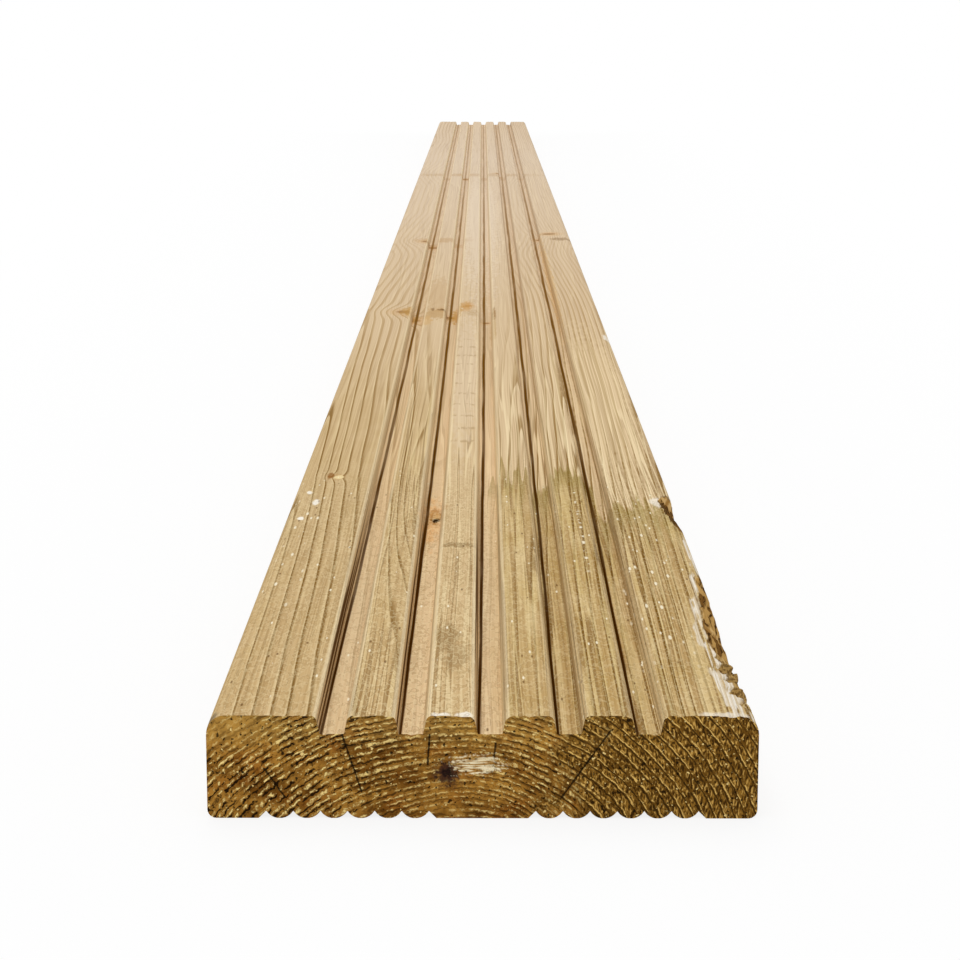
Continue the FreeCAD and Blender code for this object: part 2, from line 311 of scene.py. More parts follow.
def arris_chips(x, along):
    """Crumbled edge where the saw broke out of the top: noise that fades with the distance from
    the nearer end.
    """
    fine = lattice_noise(x, 0.0, (1.1, 1), seed=11)
    coarse = lattice_noise(x, 0.0, (4.3, 1), seed=12)
    from_end = np.minimum(along, LENGTH - along)
    fade = np.clip(1 - from_end / ARRIS_REACH, 0, 1)
    return ARRIS_CHIP * rise(fine + 0.6 * coarse, -0.1, 1.0) * fade


print(f"{len(TORN_STRIPS)} torn strips, {TORN_DEPTH} mm deep")

# %% [markdown]
# ## The sawn end
#
# A saw leaves the end flat but fuzzy. Drying has opened a few cracks that run out from the heart,
# a small dark knot sits near the middle, and next to it the blade plucked out a sliver of pale
# wood. All of these are dents, so one function gives the depth of the end at each point.

# %% Dents in the near end
# Each crack is a chain of points (x, z) on the end, from its mouth to its tip.
END_CRACKS = (
    ((-36.9, 22.9), (-34.4, 15.1), (-31.8, 7.2)),
    ((33.6, 23.8), (28.1, 16.0), (20.6, 5.2)),
    ((-13.9, 22.6), (-14.4, 14.6)),
    ((3.5, 20.4), (2.6, 12.8)),
    ((-57.4, 13.4), (-52.0, 5.6)),
)
CRACK_PIECES = [pair for chain in END_CRACKS for pair in zip(chain, chain[1:])]
CRACK_DEPTH = 0.5
CRACK_WIDTH = 0.45
END_KNOT = (-9.2, 12.2)
END_KNOT_RADIUS = 3.4
END_KNOT_DEPTH = 0.9
PLUCKED = (-1.2, 14.6)
PLUCKED_HALF_SIZE = (5.6, 2.5)
PLUCKED_DEPTH = 1.3
SAW_ROUGHNESS = 0.10


def from_segment(x, z, start, end):
    """Distance from points to a straight piece: drop a perpendicular, held within its ends."""
    run_x, run_z = end[0] - start[0], end[1] - start[1]
    share = ((x - start[0]) * run_x + (z - start[1]) * run_z) / (run_x ** 2 + run_z ** 2)
    share = np.clip(share, 0.0, 1.0)
    return np.hypot(x - start[0] - share * run_x, z - start[1] - share * run_z)


def end_depth(x, z):
    """Depth of the sawn end in mm: bell-shaped cracks and knot hollow, plucked sliver, saw fuzz."""
    crack = np.min([from_segment(x, z, *piece) for piece in CRACK_PIECES], axis=0)
    knot = np.hypot(x - END_KNOT[0], z - END_KNOT[1]) / END_KNOT_RADIUS
    half_width, half_height = PLUCKED_HALF_SIZE
    sliver = np.hypot((x - PLUCKED[0]) / half_width, (z - PLUCKED[1]) / half_height)
    slats = 0.6 + 0.4 * lattice_noise(x, z, (5, 0.9), seed=13)
    return (
        CRACK_DEPTH * np.exp(-(crack / CRACK_WIDTH) ** 2)
        + END_KNOT_DEPTH * np.exp(-knot ** 2)
        + PLUCKED_DEPTH * slats * (1 - rise(sliver, 0.6, 1.1))
        + SAW_ROUGHNESS * (1 + lattice_noise(x, z, (1.1, 1.1), seed=17))
    )


print(f"{len(END_CRACKS)} cracks, knot hollow {end_depth(*END_KNOT):.1f} mm deep")

# %% [markdown]
# ## One closed skin
#
# The board is a box whose six sides are grids: top and bottom share the columns and stations, the
# two edges share the stations and rows, and the two ends share the columns and rows. Each grid
# takes the outer points of its neighbours, so the skin closes without a seam. A map for baking is
# laid out at the same time, with most of its picture given to the near end, where the eye is.

# %% Points of the six grids
def top_points():
    """Walking face: the section's height at each column and station, torn and drawn in."""
    x, along = np.meshgrid(columns, stations)
    torn = torn_fibre(x, along) * (x > GROOVE_CENTRES[-1] + SHOULDER_START)
    fibres = 0.6 + 0.4 * lattice_noise(along, x, (20, 0.7), seed=19)
    z = np.broadcast_to(top_line, x.shape)
    z = z - TORN_DEPTH * torn * fibres - arris_chips(x, along)
    x, z, outside = draw_in(x, z, along)
    return x, along, z, outside, torn


def edge_points(column):
    """Side of the board at its first or last column, between the underside and the top."""
    along, share = np.meshgrid(stations, rows[1:-1], indexing="ij")
    x = np.full_like(along, columns[column])
    z = bottom_line[column] + share * (top_line[column] - bottom_line[column])
    x, z, outside = draw_in(x, z, along)
    return x, along, z, outside, np.zeros_like(outside)


def end_points(is_near):
    """Sawn end: each column filled from underside to top, dented at the near end."""
    share, x = np.meshgrid(rows[1:-1], columns[1:-1], indexing="ij")
    base = bottom_line[1:-1]
    z = base + share * (top_line[1:-1] - base)
    along = end_depth(x, z) if is_near else np.full_like(x, LENGTH - SAW_ROUGHNESS)
    none = np.zeros_like(x)
    return x, along, z, none, none


def bottom_points():
    """Underside: the same height at every station."""
    x, along = np.meshgrid(columns, stations)
    none = np.zeros_like(x)
    return x, along, np.broadcast_to(bottom_line, x.shape), none, none


grids = [
    top_points(), bottom_points(), edge_points(0), edge_points(-1),
    end_points(is_near=True), end_points(is_near=False),
]
xs, alongs, heights, outsides, torns = (
    np.concatenate([part.ravel() for part in parts]) for parts in zip(*grids)
)
points = np.stack([xs, alongs + NEAR_END, heights], axis=1)
print(f"{len(points)} points in {len(grids)} grids")

# %% Point numbers of the six sides
numbers = []
count = 0
for grid_x, *_ in grids:
    numbers.append(count + np.arange(grid_x.size).reshape(grid_x.shape))
    count += grid_x.size
top, bottom, left, right, near, far = numbers


def end_side(station, inner):
    """Point numbers of one end: underside, the rows between the two edges, then the top."""
    middle = np.column_stack([left[station], inner, right[station]])
    return np.vstack([bottom[station], middle, top[station]])


left_side = np.column_stack([bottom[:, 0], left, top[:, 0]])
right_side = np.column_stack([bottom[:, -1], right, top[:, -1]])
near_side = end_side(0, near)
far_side = end_side(-1, far)
print("rows and columns of the near end:", near_side.shape)

# %% The map for baking
NEAR_STRETCH = 100.0


def run_along(line):
    """Share of the way across a line of heights, measured over its ups and downs."""
    lengths = np.hypot(np.diff(columns), np.diff(line))
    return np.r_[0.0, np.cumsum(lengths)] / lengths.sum()


def shrink_along(along):
    """Share of the picture used up to each station: the log of the distance, so near is large."""
    return np.log1p(along / NEAR_STRETCH) / math.log1p(LENGTH / NEAR_STRETCH)


def island(across, up, box):
    """Map places: two shares spread over a box (left, right, bottom, top) of the picture."""
    u, v = np.meshgrid(box[0] + across * (box[1] - box[0]), box[2] + up * (box[3] - box[2]))
    return np.stack([u, v], axis=2)


columns_share = (columns + HALF_WIDTH) / (2 * HALF_WIDTH)
stations_share = shrink_along(stations)
# Each side's point numbers, its map, whether its cells are turned round, and its finish.
SIDES = (
    (top, island(run_along(top_line), stations_share, (0.002, 0.998, 0.220, 0.760)), False, 0),
    (bottom, island(run_along(bottom_line), stations_share, (0.002, 0.998, 0.770, 0.860)), True, 0),
    (left_side, island(rows, stations_share, (0.002, 0.490, 0.870, 0.940)), True, 0),
    (right_side, island(rows, stations_share, (0.510, 0.998, 0.870, 0.940)), False, 0),
    (near_side, island(columns_share, rows, (0.002, 0.998, 0.002, 0.210)), False, 1),
    (far_side, island(columns_share, rows, (0.002, 0.998, 0.950, 0.998)), True, 1),
)
print(f"the first metre takes {shrink_along(1000.0):.0%} of the map's height")

# %% One mesh
SHARP_ANGLE = 38.0


def corners_of(grid, flip):
    """Corners of each cell of a grid in turn; flip turns the cells to face the other way."""
    order = [grid[:-1, :-1], grid[:-1, 1:], grid[1:, 1:], grid[1:, :-1]]
    cells = np.stack(order[::-1] if flip else order, axis=2)
    return cells.reshape(-1, *cells.shape[2:])


def build_board():
    """Put the six grids into one mesh, with its map, materials by side and wane values."""
    faces = np.concatenate([corners_of(grid, flip) for grid, _, flip, _ in SIDES])
    places = np.concatenate([corners_of(uv, flip) for _, uv, flip, _ in SIDES])
    finishes = np.concatenate([
        np.full((grid.shape[0] - 1) * (grid.shape[1] - 1), finish) for grid, _, _, finish in SIDES
    ])
    mesh = bpy.data.meshes.new("decking_board_timber")
    mesh.from_pydata((points * MM).tolist(), [], faces.tolist())
    mesh.polygons.foreach_set("material_index", finishes.astype(np.int32))
    mesh.uv_layers.new(name="OFBake").data.foreach_set("uv", places.ravel().astype(np.float32))
    bark = bark_cover(alongs) * rise(outsides, 0.05, 0.5)
    for name, values in (("wane", rise(outsides, 0.02, 0.4)), ("torn", torns), ("bark", bark)):
        layer = mesh.attributes.new(name, "FLOAT", "POINT")
        layer.data.foreach_set("value", values.astype(np.float32))
    mesh.shade_smooth()
    mesh.set_sharp_from_angle(angle=math.radians(SHARP_ANGLE))
    return mesh


def add_object(name, data):
    """Put a mesh, lamp or camera into the scene."""
    thing = bpy.data.objects.new(name, data)
    bpy.context.scene.collection.objects.link(thing)
    return thing


board = add_object("decking_board_timber", build_board())
print(f"{len(board.data.polygons)} faces in one skin")

# %% [markdown]
# ## Formulas in nodes
#
# The grain is a formula of the place in the log, so the materials need a lot of arithmetic. Built
# node by node that is hard to read. A small class that stands for one output socket, and adds a
# Math node whenever it meets a plus or a times sign, lets a material be written like the formula.

# %% A wire that does sums
def join(tree, value, socket):
    """Link a wire to a socket, or set the socket's own value."""
    if isinstance(value, Wire):
        tree.links.new(value.socket, socket)
    else:
        socket.default_value = value


class Wire:
    """One output socket. Sums with it add Math nodes to its tree."""

    def __init__(self, tree, socket):
        self.tree = tree
        self.socket = socket

    def math(self, operation, *others):
        node = self.tree.nodes.new("ShaderNodeMath")
        node.operation = operation
        for number, value in enumerate((self, *others)):
            join(self.tree, value, node.inputs[number])
        return Wire(self.tree, node.outputs[0])

    def __add__(self, other):
        return self.math("ADD", other)

    def __sub__(self, other):
        return self.math("SUBTRACT", other)

    def __mul__(self, other):
        return self.math("MULTIPLY", other)

    def __truediv__(self, other):
        return self.math("DIVIDE", other)

    def __abs__(self):
        return self.math("ABSOLUTE")

    def bell(self, width):
        """Bell curve: e to the power of minus the square of value over width."""
        share = self / width
        return (share * share * -1.0).math("EXPONENT")


print("Wire:", Wire.__doc__)

# %% Masks
def step(wire, start, end):
    """Smooth step from 0 at start to 1 at end, which may be the lower one."""
    node = wire.tree.nodes.new("ShaderNodeMapRange")
    node.interpolation_type = "SMOOTHSTEP"
    for name, value in (("Value", wire), ("From Min", start), ("From Max", end)):
        join(wire.tree, value, node.inputs[name])
    return Wire(wire.tree, node.outputs["Result"])


def window(wire, start, end, ease):
    """1 between two values, eased to 0 outside them."""
    return step(wire, start - ease, start + ease) * step(wire, end + ease, end - ease)


def contour(wire, level, outer, inner):
    """A line where the wire has a level: 1 within inner of it, eased to 0 at outer."""
    return step(abs(wire - level), outer, inner)


def span(mask, low, high):
    """Spread a mask over two values: low where it is 0, high where it is 1."""
    return mask.math("MULTIPLY_ADD", high - low, low)


def greatest(first, *others):
    """The greatest of several wires at each point."""
    for other in others:
        first = first.math("MAXIMUM", other)
    return first


print("helpers for masks: step, window, contour, span and greatest")

# %% Vectors
def vector_math(operation, first, second, output="Vector"):
    """One Vector Math node on a vector wire and a second vector or number."""
    node = first.tree.nodes.new("ShaderNodeVectorMath")
    node.operation = operation
    join(first.tree, first, node.inputs[0])
    join(first.tree, second, node.inputs["Scale" if operation == "SCALE" else 1])
    return Wire(first.tree, node.outputs[output])


def length(vector):
    """Length of a vector wire."""
    return vector_math("LENGTH", vector, (0.0, 0.0, 0.0), "Value")


def dot(first, second):
    """Dot product: how far the first reaches along the second, times the second's length."""
    return vector_math("DOT_PRODUCT", first, second, "Value")


def split(vector):
    """The three numbers of a vector wire."""
    node = vector.tree.nodes.new("ShaderNodeSeparateXYZ")
    join(vector.tree, vector, node.inputs[0])
    return [Wire(vector.tree, output) for output in node.outputs]


def bundle(tree, *parts):
    """A vector of three numbers or wires."""
    node = tree.nodes.new("ShaderNodeCombineXYZ")
    for number, part in enumerate(parts):
        join(tree, part, node.inputs[number])
    return Wire(tree, node.outputs[0])


print("helpers for vectors: length, dot, split and bundle")

# %% Noise and specks
def texture(kind, place, size):
    """A texture node of this kind whose lumps or cells measure size, in mm."""
    node = place.tree.nodes.new(kind)
    node.inputs["Scale"].default_value = 1.0
    join(place.tree, vector_math("DIVIDE", place, size), node.inputs["Vector"])
    return node


def grain_noise(place, size, detail=2.0):
    """Noise from about -1 to 1 whose lumps measure size, in mm across, along and up."""
    node = texture("ShaderNodeTexNoise", place, size)
    node.inputs["Detail"].default_value = detail
    return span(Wire(place.tree, node.outputs[0]), -1.0, 1.0)


def specks(place, size, share, radius):
    """Dots: the middles of random cells of this size, in this share of the cells."""
    node = texture("ShaderNodeTexVoronoi", place, size)
    chosen = split(Wire(place.tree, node.outputs["Color"]))[0].math("LESS_THAN", share)
    return step(Wire(place.tree, node.outputs["Distance"]), radius, radius * 0.5) * chosen


print("helpers for textures: grain_noise and specks")

# %% Colours
# Sockets of a Mix node that is set to colours.
MIX_FACTOR = 0
MIX_FIRST = 6
MIX_SECOND = 7
MIX_RESULT = 2


def paint(red, green, blue):
    """A colour as seen on screen, 0 to 255, turned into the light that Blender reckons with."""
    seen = np.array((red, green, blue)) / 255
    light = np.where(seen <= 0.04045, seen / 12.92, ((seen + 0.055) / 1.055) ** 2.4)
    return (*light.tolist(), 1.0)


def mix(factor, first, second, blend="MIX"):
    """Colour mix by a factor wire; blend names the way the second lies on the first."""
    node = factor.tree.nodes.new("ShaderNodeMix")
    node.data_type = "RGBA"
    node.blend_type = blend
    for number, value in ((MIX_FACTOR, factor), (MIX_FIRST, first), (MIX_SECOND, second)):
        join(factor.tree, value, node.inputs[number])
    return Wire(factor.tree, node.outputs[MIX_RESULT])


def coats(wood, *layers):
    """Lay coats of colour on the wood in turn, each a mask and a colour."""
    for mask, colour in layers:
        wood = mix(mask, wood, colour)
    return wood


def ramp(wire, stops, interpolation="LINEAR"):
    """Colour ramp: stops are pairs of place and colour."""
    node = wire.tree.nodes.new("ShaderNodeValToRGB")
    elements = node.color_ramp.elements
    node.color_ramp.interpolation = interpolation
    while len(elements) < len(stops):
        elements.new(1.0)
    for element, (place, colour) in zip(elements, stops):
        element.position = place
        element.color = colour
    join(wire.tree, wire, node.inputs[0])
    return Wire(wire.tree, node.outputs["Color"])


print(f"mid grey on screen is {paint(128, 128, 128)[0]:.2f} of full light")

# %% Node groups
def new_group(name, **kinds):
    """An empty node group with named inputs of these kinds, as its tree and its input wires."""
    tree = bpy.data.node_groups.new(name, "ShaderNodeTree")
    for socket_name, kind in kinds.items():
        tree.interface.new_socket(socket_name, in_out="INPUT", socket_type=f"NodeSocket{kind}")
    entry = tree.nodes.new("NodeGroupInput")
    return tree, [Wire(tree, entry.outputs[socket_name]) for socket_name in kinds]


def put_out(tree, **results):
    """Give a group one output for each named wire, and return the group."""
    for socket_name in results:
        tree.interface.new_socket(socket_name, in_out="OUTPUT", socket_type="NodeSocketFloat")
    exit_node = tree.nodes.new("NodeGroupOutput")
    for socket_name, wire in results.items():
        join(tree, wire, exit_node.inputs[socket_name])
    return tree


def use(group, tree, **inputs):
    """Place a group in a tree and return its outputs as wires by name."""
    node = tree.nodes.new("ShaderNodeGroup")
    node.node_tree = group
    for name, value in inputs.items():
        join(tree, value, node.inputs[name])
    return {output.name: Wire(tree, output) for output in node.outputs}


print("helpers for groups: new_group and put_out build one, use places it")

# %% [markdown]
# ## Growth rings and branches
#
# Every year the tree adds a pale layer of early wood and a thin dark layer of late wood round its
# heart. The board is a slice of that, so one formula, the distance from the heart line, gives the
# arcs on the ends, the fine lines on the outer strips and the broad figure in the middle. Painting
# each face by itself would not meet at the edges. A branch grows out from the heart and the rings
# swell round it, so each branch takes a bell-shaped amount off the distance.

# %% One branch
HALO_SHAPE = (1.0, 0.34, 1.0)
CORE_SHAPE = (1.0, 0.6, 1.0)


def branch_group():
    """A branch: a straight line from the heart, round which the rings lift.

    Lift is swell times a bell curve of the distance from that line, stretched along the grain.
    Core is the branch's own wood, and Halo the coloured wood round it, frayed by a given noise.
    """
    tree, wires = new_group("Branch", Place="Vector", Fray="Float", Foot="Vector",
                            Direction="Vector", Radius="Float", Swell="Float")
    place, fray, foot, direction, radius, swell = wires
    offset = vector_math("SUBTRACT", place, foot)
    reach = vector_math("SCALE", direction, dot(offset, direction))
    aside = vector_math("SUBTRACT", offset, reach)
    away = length(vector_math("MULTIPLY", aside, HALO_SHAPE)) / radius
    from_core = length(vector_math("MULTIPLY", aside, CORE_SHAPE)) / radius
    return put_out(tree, Lift=away.bell(2.6) * swell, Core=step(from_core + fray * 0.3, 1.2, 0.7),
                   Halo=step(away + fray * 0.8, 2.6, 0.8))


branch = branch_group()
print(f"a branch in {len(branch.nodes)} nodes")

# %% The rings of this log
RING_WIDTH = 2.1
# The pith, across and up, which lies off the middle of the trunk's round.
RING_HEART = (-4.0, -27.0)
LEFT_SQUEEZE = 0.74
SQUEEZE_ACROSS = (-30.0, 20.0)
SIDE_WANDER = 4.0
SIDE_WANDER_SIZE = (1.0, 620.0, 1.0)
UP_WANDER = 3.0
UP_WANDER_SIZE = (1.0, 520.0, 1.0)
BULGE = 1.4
BULGE_SIZE = (34.0, 480.0, 34.0)
SWAY_SIZE = (7.0, 520.0, 7.0)
UNEVEN_YEARS = 0.6
UNEVEN_YEARS_SIZE = (5.0, 1.0, 1.0)
# Whorls of branches, where the whole trunk is thicker: along, swell, length before and after.
WHORLS = ((880.0, 6.5, 860.0, 430.0), (1400.0, 5.0, 160.0, 320.0), (2210.0, 5.0, 200.0, 300.0))
# Swellings of the grain: across, along, half width, half length and swell.
SWELLINGS = ((-22.0, 290.0, 9.0, 130.0, 6.0),)


def growth_rings_group():
    """Rings about the heart line.

    Distance from the heart, squeezed on the left and wandering a little along the trunk, less
    the lift of branches and whorls, plus sway, over the width of a ring. Phase is the share of a
    ring, Year a random number for each, Around the way round it in mm, and Slant how steeply the
    ring stands to the walking face.
    """
    tree, wires = new_group("Growth rings", Place="Vector", Lift="Float", Sway="Float")
    place, lift, sway = wires
    x, y, z = split(place)
    along = y - NEAR_END
    to_side = grain_noise(bundle(tree, 0.0, along, 0.0), SIDE_WANDER_SIZE) * SIDE_WANDER
    upwards = grain_noise(bundle(tree, 40.0, along, 9.0), UP_WANDER_SIZE) * UP_WANDER
    across = x - RING_HEART[0] - to_side
    up = z - RING_HEART[1] - upwards
    across = across * span(step(across, *SQUEEZE_ACROSS), LEFT_SQUEEZE, 1.0)
    distance = (across * across + up * up).math("SQRT")
    grown = distance - lift + grain_noise(place, BULGE_SIZE, 1.0) * BULGE
    grown = grown + grain_noise(place, SWAY_SIZE, 1.0) * sway
    for middle, swell, before, after in WHORLS:
        thicker = step(along, middle - before, middle) * step(along, middle + after, middle)
        grown = grown - thicker * swell
    for middle_x, middle, half_width, half_length, swell in SWELLINGS:
        grown = grown - (x - middle_x).bell(half_width) * (along - middle).bell(half_length) * swell
    uneven = grain_noise(bundle(tree, grown, 0.0, 0.0), UNEVEN_YEARS_SIZE) * UNEVEN_YEARS
    ring = grown / RING_WIDTH + uneven
    year = tree.nodes.new("ShaderNodeTexWhiteNoise")
    year.noise_dimensions = "1D"
    join(tree, ring.math("FLOOR"), year.inputs["W"])
    return put_out(tree, Ring=ring, Phase=ring.math("FRACT"),
                   Year=Wire(tree, year.outputs["Value"]),
                   Around=across.math("ARCTAN2", up) * distance, Slant=abs(across / up))


growth_rings = growth_rings_group()
print(f"rings of {RING_WIDTH} mm in {len(growth_rings.nodes)} nodes")

# %% [markdown]
# ## The planed faces
#
# Planed softwood is straw coloured, with brown late wood lines. Towards the near end the treatment
# has soaked in and left a greenish tan, which stops in ragged fingers that differ on each rib. The
# colour is laid on in the order in which it came: wood, treatment, knots with a painted sheen and
# painted grey shade, handling marks with painted shade beside the curls, painted highlight on the
# groove walls with painted shade and grime at their feet, and last the wane with its bark.

# %% The point being coloured
# Where each fade ends and where it begins, in mm from the near end.
CLOSE = (1300.0, 350.0)
NEAR = (850.0, 300.0)
TREATED = (430.0, 260.0)
# From where to where across the board the right side fades in.
RIGHT = (20.0, 44.0)
FRAY = 0.8
FRAY_SIZE = (1.8, 11.0, 6.0)


class Spot:
    """What a material knows of each point: its place in mm, and values that several masks share.

    Close, near and treated fade out with the distance from the near end, treated first, and
    right fades in towards the right edge.
    """

    def __init__(self, tree):
        coordinates = tree.nodes.new("ShaderNodeTexCoord")
        self.tree = tree
        self.place = vector_math("SCALE", Wire(tree, coordinates.outputs["Object"]), 1 / MM)
        self.x, y, self.z = split(self.place)
        self.along = y - NEAR_END
        self.fray = grain_noise(self.place, FRAY_SIZE, 3.0) * FRAY
        self.close = step(self.along, *CLOSE)
        self.near = step(self.along, *NEAR)
        self.treated = step(self.along, *TREATED)
        self.right = step(self.x, *RIGHT)

    def attribute(self, name):
        """A value that the mesh holds at its points."""
        node = self.tree.nodes.new("ShaderNodeAttribute")
        node.attribute_name = name
        return Wire(self.tree, node.outputs["Fac"])

    def patch(self, across, along):
        """1 within a stretch across and one along the board, each a start, an end and an ease."""
        return window(self.x, *across) * window(self.along, *along)


def new_material(name):
    """A material, its Principled shader and its spot."""
    material = bpy.data.materials.new(name)
    material.use_nodes = True
    tree = material.node_tree
    return material, tree.nodes["Principled BSDF"], Spot(tree)


def relief(spot, shader, height, depth):
    """Bump the shader's normal by a height wire, times a depth in mm."""
    bump = spot.tree.nodes.new("ShaderNodeBump")
    bump.inputs["Distance"].default_value = depth * MM
    join(spot.tree, height, bump.inputs["Height"])
    spot.tree.links.new(bump.outputs["Normal"], shader.inputs["Normal"])


print(f"treatment fades out {TREATED[1]:.0f} to {TREATED[0]:.0f} mm from the near end")

# %% Early and late wood
# Share of the board's length, with the colours of early and late wood there.
WOOD_STOPS = (
    (0.0, paint(211, 181, 136), paint(122, 86, 20)),
    (0.09, paint(212, 185, 145), paint(130, 94, 32)),
    (0.25, paint(210, 185, 150), paint(166, 130, 80)),
    (0.45, paint(214, 192, 164), paint(197, 170, 132)),
    (0.70, paint(216, 196, 172), paint(205, 180, 146)),
    (1.0, paint(217, 195, 168), paint(160, 124, 78)),
)
NEXT_YEAR = paint(244, 224, 184)


def ringed_wood(spot, rings):
    """Early and late wood by the share of each ring.

    Late wood rises through the last part of a ring and stops short at its outer edge. It is
    broader far off, and fades where the ring lies flat in the face. The next year starts pale.
    """
    phase = rings["Phase"]
    share = spot.along / LENGTH
    early_wood = ramp(share, [(place, early) for place, early, _ in WOOD_STOPS])
    late_wood = ramp(share, [(place, late) for place, _, late in WOOD_STOPS])
    start = spot.close * span(spot.right, 0.25, 0.15) + 0.47
    standing = step(rings["Slant"], span(spot.close, 0.24, 0.10), span(spot.close, 0.76, 0.40))
    late = step(phase, start, start + 0.18) * step(phase, 1.0, 0.97) * standing
    late = late * span(rings["Year"], 0.65, 1.0) * span(spot.close, 0.42, 1.0)
    next_year = step(phase, 0.18, 0.04) * standing * spot.close
    wood = mix(late, early_wood, late_wood)
    return mix(next_year * span(spot.right, 0.45, 0.70), wood, NEXT_YEAR)


print(f"{len(WOOD_STOPS)} shades of early and late wood along the board")

# %% Fibre
DARK_FIBRE = paint(148, 113, 58)
PALE_FIBRE = paint(246, 226, 182)
DARK_HAIR = paint(122, 86, 32)
PALE_HAIR = paint(250, 231, 188)
BEND_SIZE = (26.0, 260.0, 26.0)
BEND = 2.4
FIBRE_SIZE = (0.6, 300.0, 0.75)
HAIR_SIZE = (2.2, 300.0, 2.2)
STREAK_SIZE = (0.9, 400.0, 1.2)
BOLD_FIBRE = (6.0, 42.0, 6.0)
HAIR_ACROSS = (-46.0, -36.0)


def fibres(spot, wood):
    """Dark and pale fibre along a gently bending grain, with hairlines, faint on the left strip.

    Returns the colour, the fibre, and broader streaks that bend with it.
    """
    bend = grain_noise(spot.place, BEND_SIZE, 1.0) * BEND
    place = bundle(spot.tree, spot.x + bend, spot.along, spot.z)
    fibre = grain_noise(place, FIBRE_SIZE)
    hair = grain_noise(place, HAIR_SIZE, 1.0)
    contrast = spot.right * 0.1 + window(spot.x, *BOLD_FIBRE) * 0.14 + 0.11
    contrast = spot.near * contrast + 0.11
    hairy = spot.near * span(step(spot.x, *HAIR_ACROSS), 0.05, 0.35) + 0.09
    wood = coats(
        wood,
        (step(fibre, 0.04, 0.3) * contrast, DARK_FIBRE),
        (step(fibre, -0.04, -0.3) * contrast, PALE_FIBRE),
        (contour(hair, 0.15, 0.1, 0.03) * hairy, DARK_HAIR),
        (contour(hair, 0.0, 0.1, 0.03) * hairy, PALE_HAIR),
    )
    return wood, fibre, grain_noise(place, STREAK_SIZE, 1.0)


print(f"fibre {FIBRE_SIZE[0]} mm wide, hairlines {HAIR_SIZE[0]} mm apart")

# %% Knots where branches leave the face
KNOT_HALO = paint(200, 152, 92)
KNOT_CORE = paint(138, 96, 54)
BRANCH_LEAN = 30.0
SWAY = 1.6
SWAY_MIDDLE = -2.0
SWAY_WIDTH = 32.0
# Where each branch leaves the walking face: across, along, its radius and how far rings swell.
BRANCHES = (
    (-17.0, 282.0, 2.2, 4.0),
    (-58.0, 341.0, 1.6, 0.9),
    (-47.0, 893.0, 5.0, 4.0),
    (-22.0, 905.0, 4.0, 5.0),
    (-9.5, 925.0, 3.0, 4.0),
    (3.5, 880.0, 2.0, 3.0),
    (55.0, 1442.0, 4.0, 6.0),
    (-43.0, 1372.0, 5.0, 5.0),
    (-20.0, 2205.0, 4.0, 5.0),
    (19.0, 2235.0, 4.0, 5.0),
)


def branches(spot):
    """Lift, core and halo of all branches together: the sum of the lifts, the greatest masks."""
    limbs = []
    for branch_x, branch_along, radius, swell in BRANCHES:
        foot = np.array((HEART_X, branch_along + NEAR_END - BRANCH_LEAN, HEART_Z))
        tip = np.array((branch_x, branch_along + NEAR_END, THICKNESS))
        direction = (tip - foot) / np.linalg.norm(tip - foot)
        limbs.append(use(branch, spot.tree, Place=spot.place, Fray=spot.fray, Foot=foot.tolist(),
                         Direction=direction.tolist(), Radius=radius, Swell=swell))
    lift = limbs[0]["Lift"]
    for limb in limbs[1:]:
        lift = lift + limb["Lift"]
    core, halo = (greatest(*(limb[name] for limb in limbs)) for name in ("Core", "Halo"))
    return lift, core, halo


def grain(spot):
    """Wood with its rings, fibre and knots; returns the colour, the fibre and its streaks.

    The rings sway most at the middle of the board, by a bell curve across it.
    """
    lift, core, halo = branches(spot)
    sway = (spot.x - SWAY_MIDDLE).bell(SWAY_WIDTH) * SWAY
    rings = use(growth_rings, spot.tree, Place=spot.place, Lift=lift, Sway=sway)
    wood, fibre, streak = fibres(spot, ringed_wood(spot, rings))
    return coats(wood, (halo * 0.35, KNOT_HALO), (core * 0.7, KNOT_CORE)), fibre, streak


print(f"{len(BRANCHES)} branches leave the walking face")

# %% Treatment stain
# Left edge of each strip, then where the stain ends along the board, its strength and the length
# of its fingers, in mm.
STAIN_STRIPS = (
    (-HALF_WIDTH, 640.0, 0.50, 60.0),
    (GROOVE_CENTRES[0], 600.0, 0.55, 60.0),
    (GROOVE_CENTRES[1], 400.0, 0.30, 40.0),
    (GROOVE_CENTRES[2], 352.0, 0.82, 48.0),
    (GROOVE_CENTRES[3], 352.0, 0.95, 26.0),
    (GROOVE_CENTRES[4], 284.0, 0.84, 22.0),
)
STAIN_REACH = 800.0
FINGER_REACH = 100.0
FINGER_SIZE = (2.2, 110.0, 30.0)
FINGER_SPREAD = 2.4
SOFT_EDGE = 220.0
SHARP_EDGE = 6.0
SHARP_ACROSS = (GROOVE_CENTRES[2] - 1.0, GROOVE_CENTRES[2] + 1.0)
CLEAN_UP = (GROOVE_FLOOR - 1.0, GROOVE_FLOOR + 0.5, 0.4)
CLEAN_ACROSS = (14.0, 4.0)
CLEAN_ALONG = (800.0, 200.0)
CLOUDY_SIZE = (9.0, 30.0, 9.0)
STAIN_TINT = (0.72, 0.65, 0.44, 1.0)
STAIN_TIPS = paint(138, 120, 62)
CLEAN_FLOOR = paint(232, 203, 163)


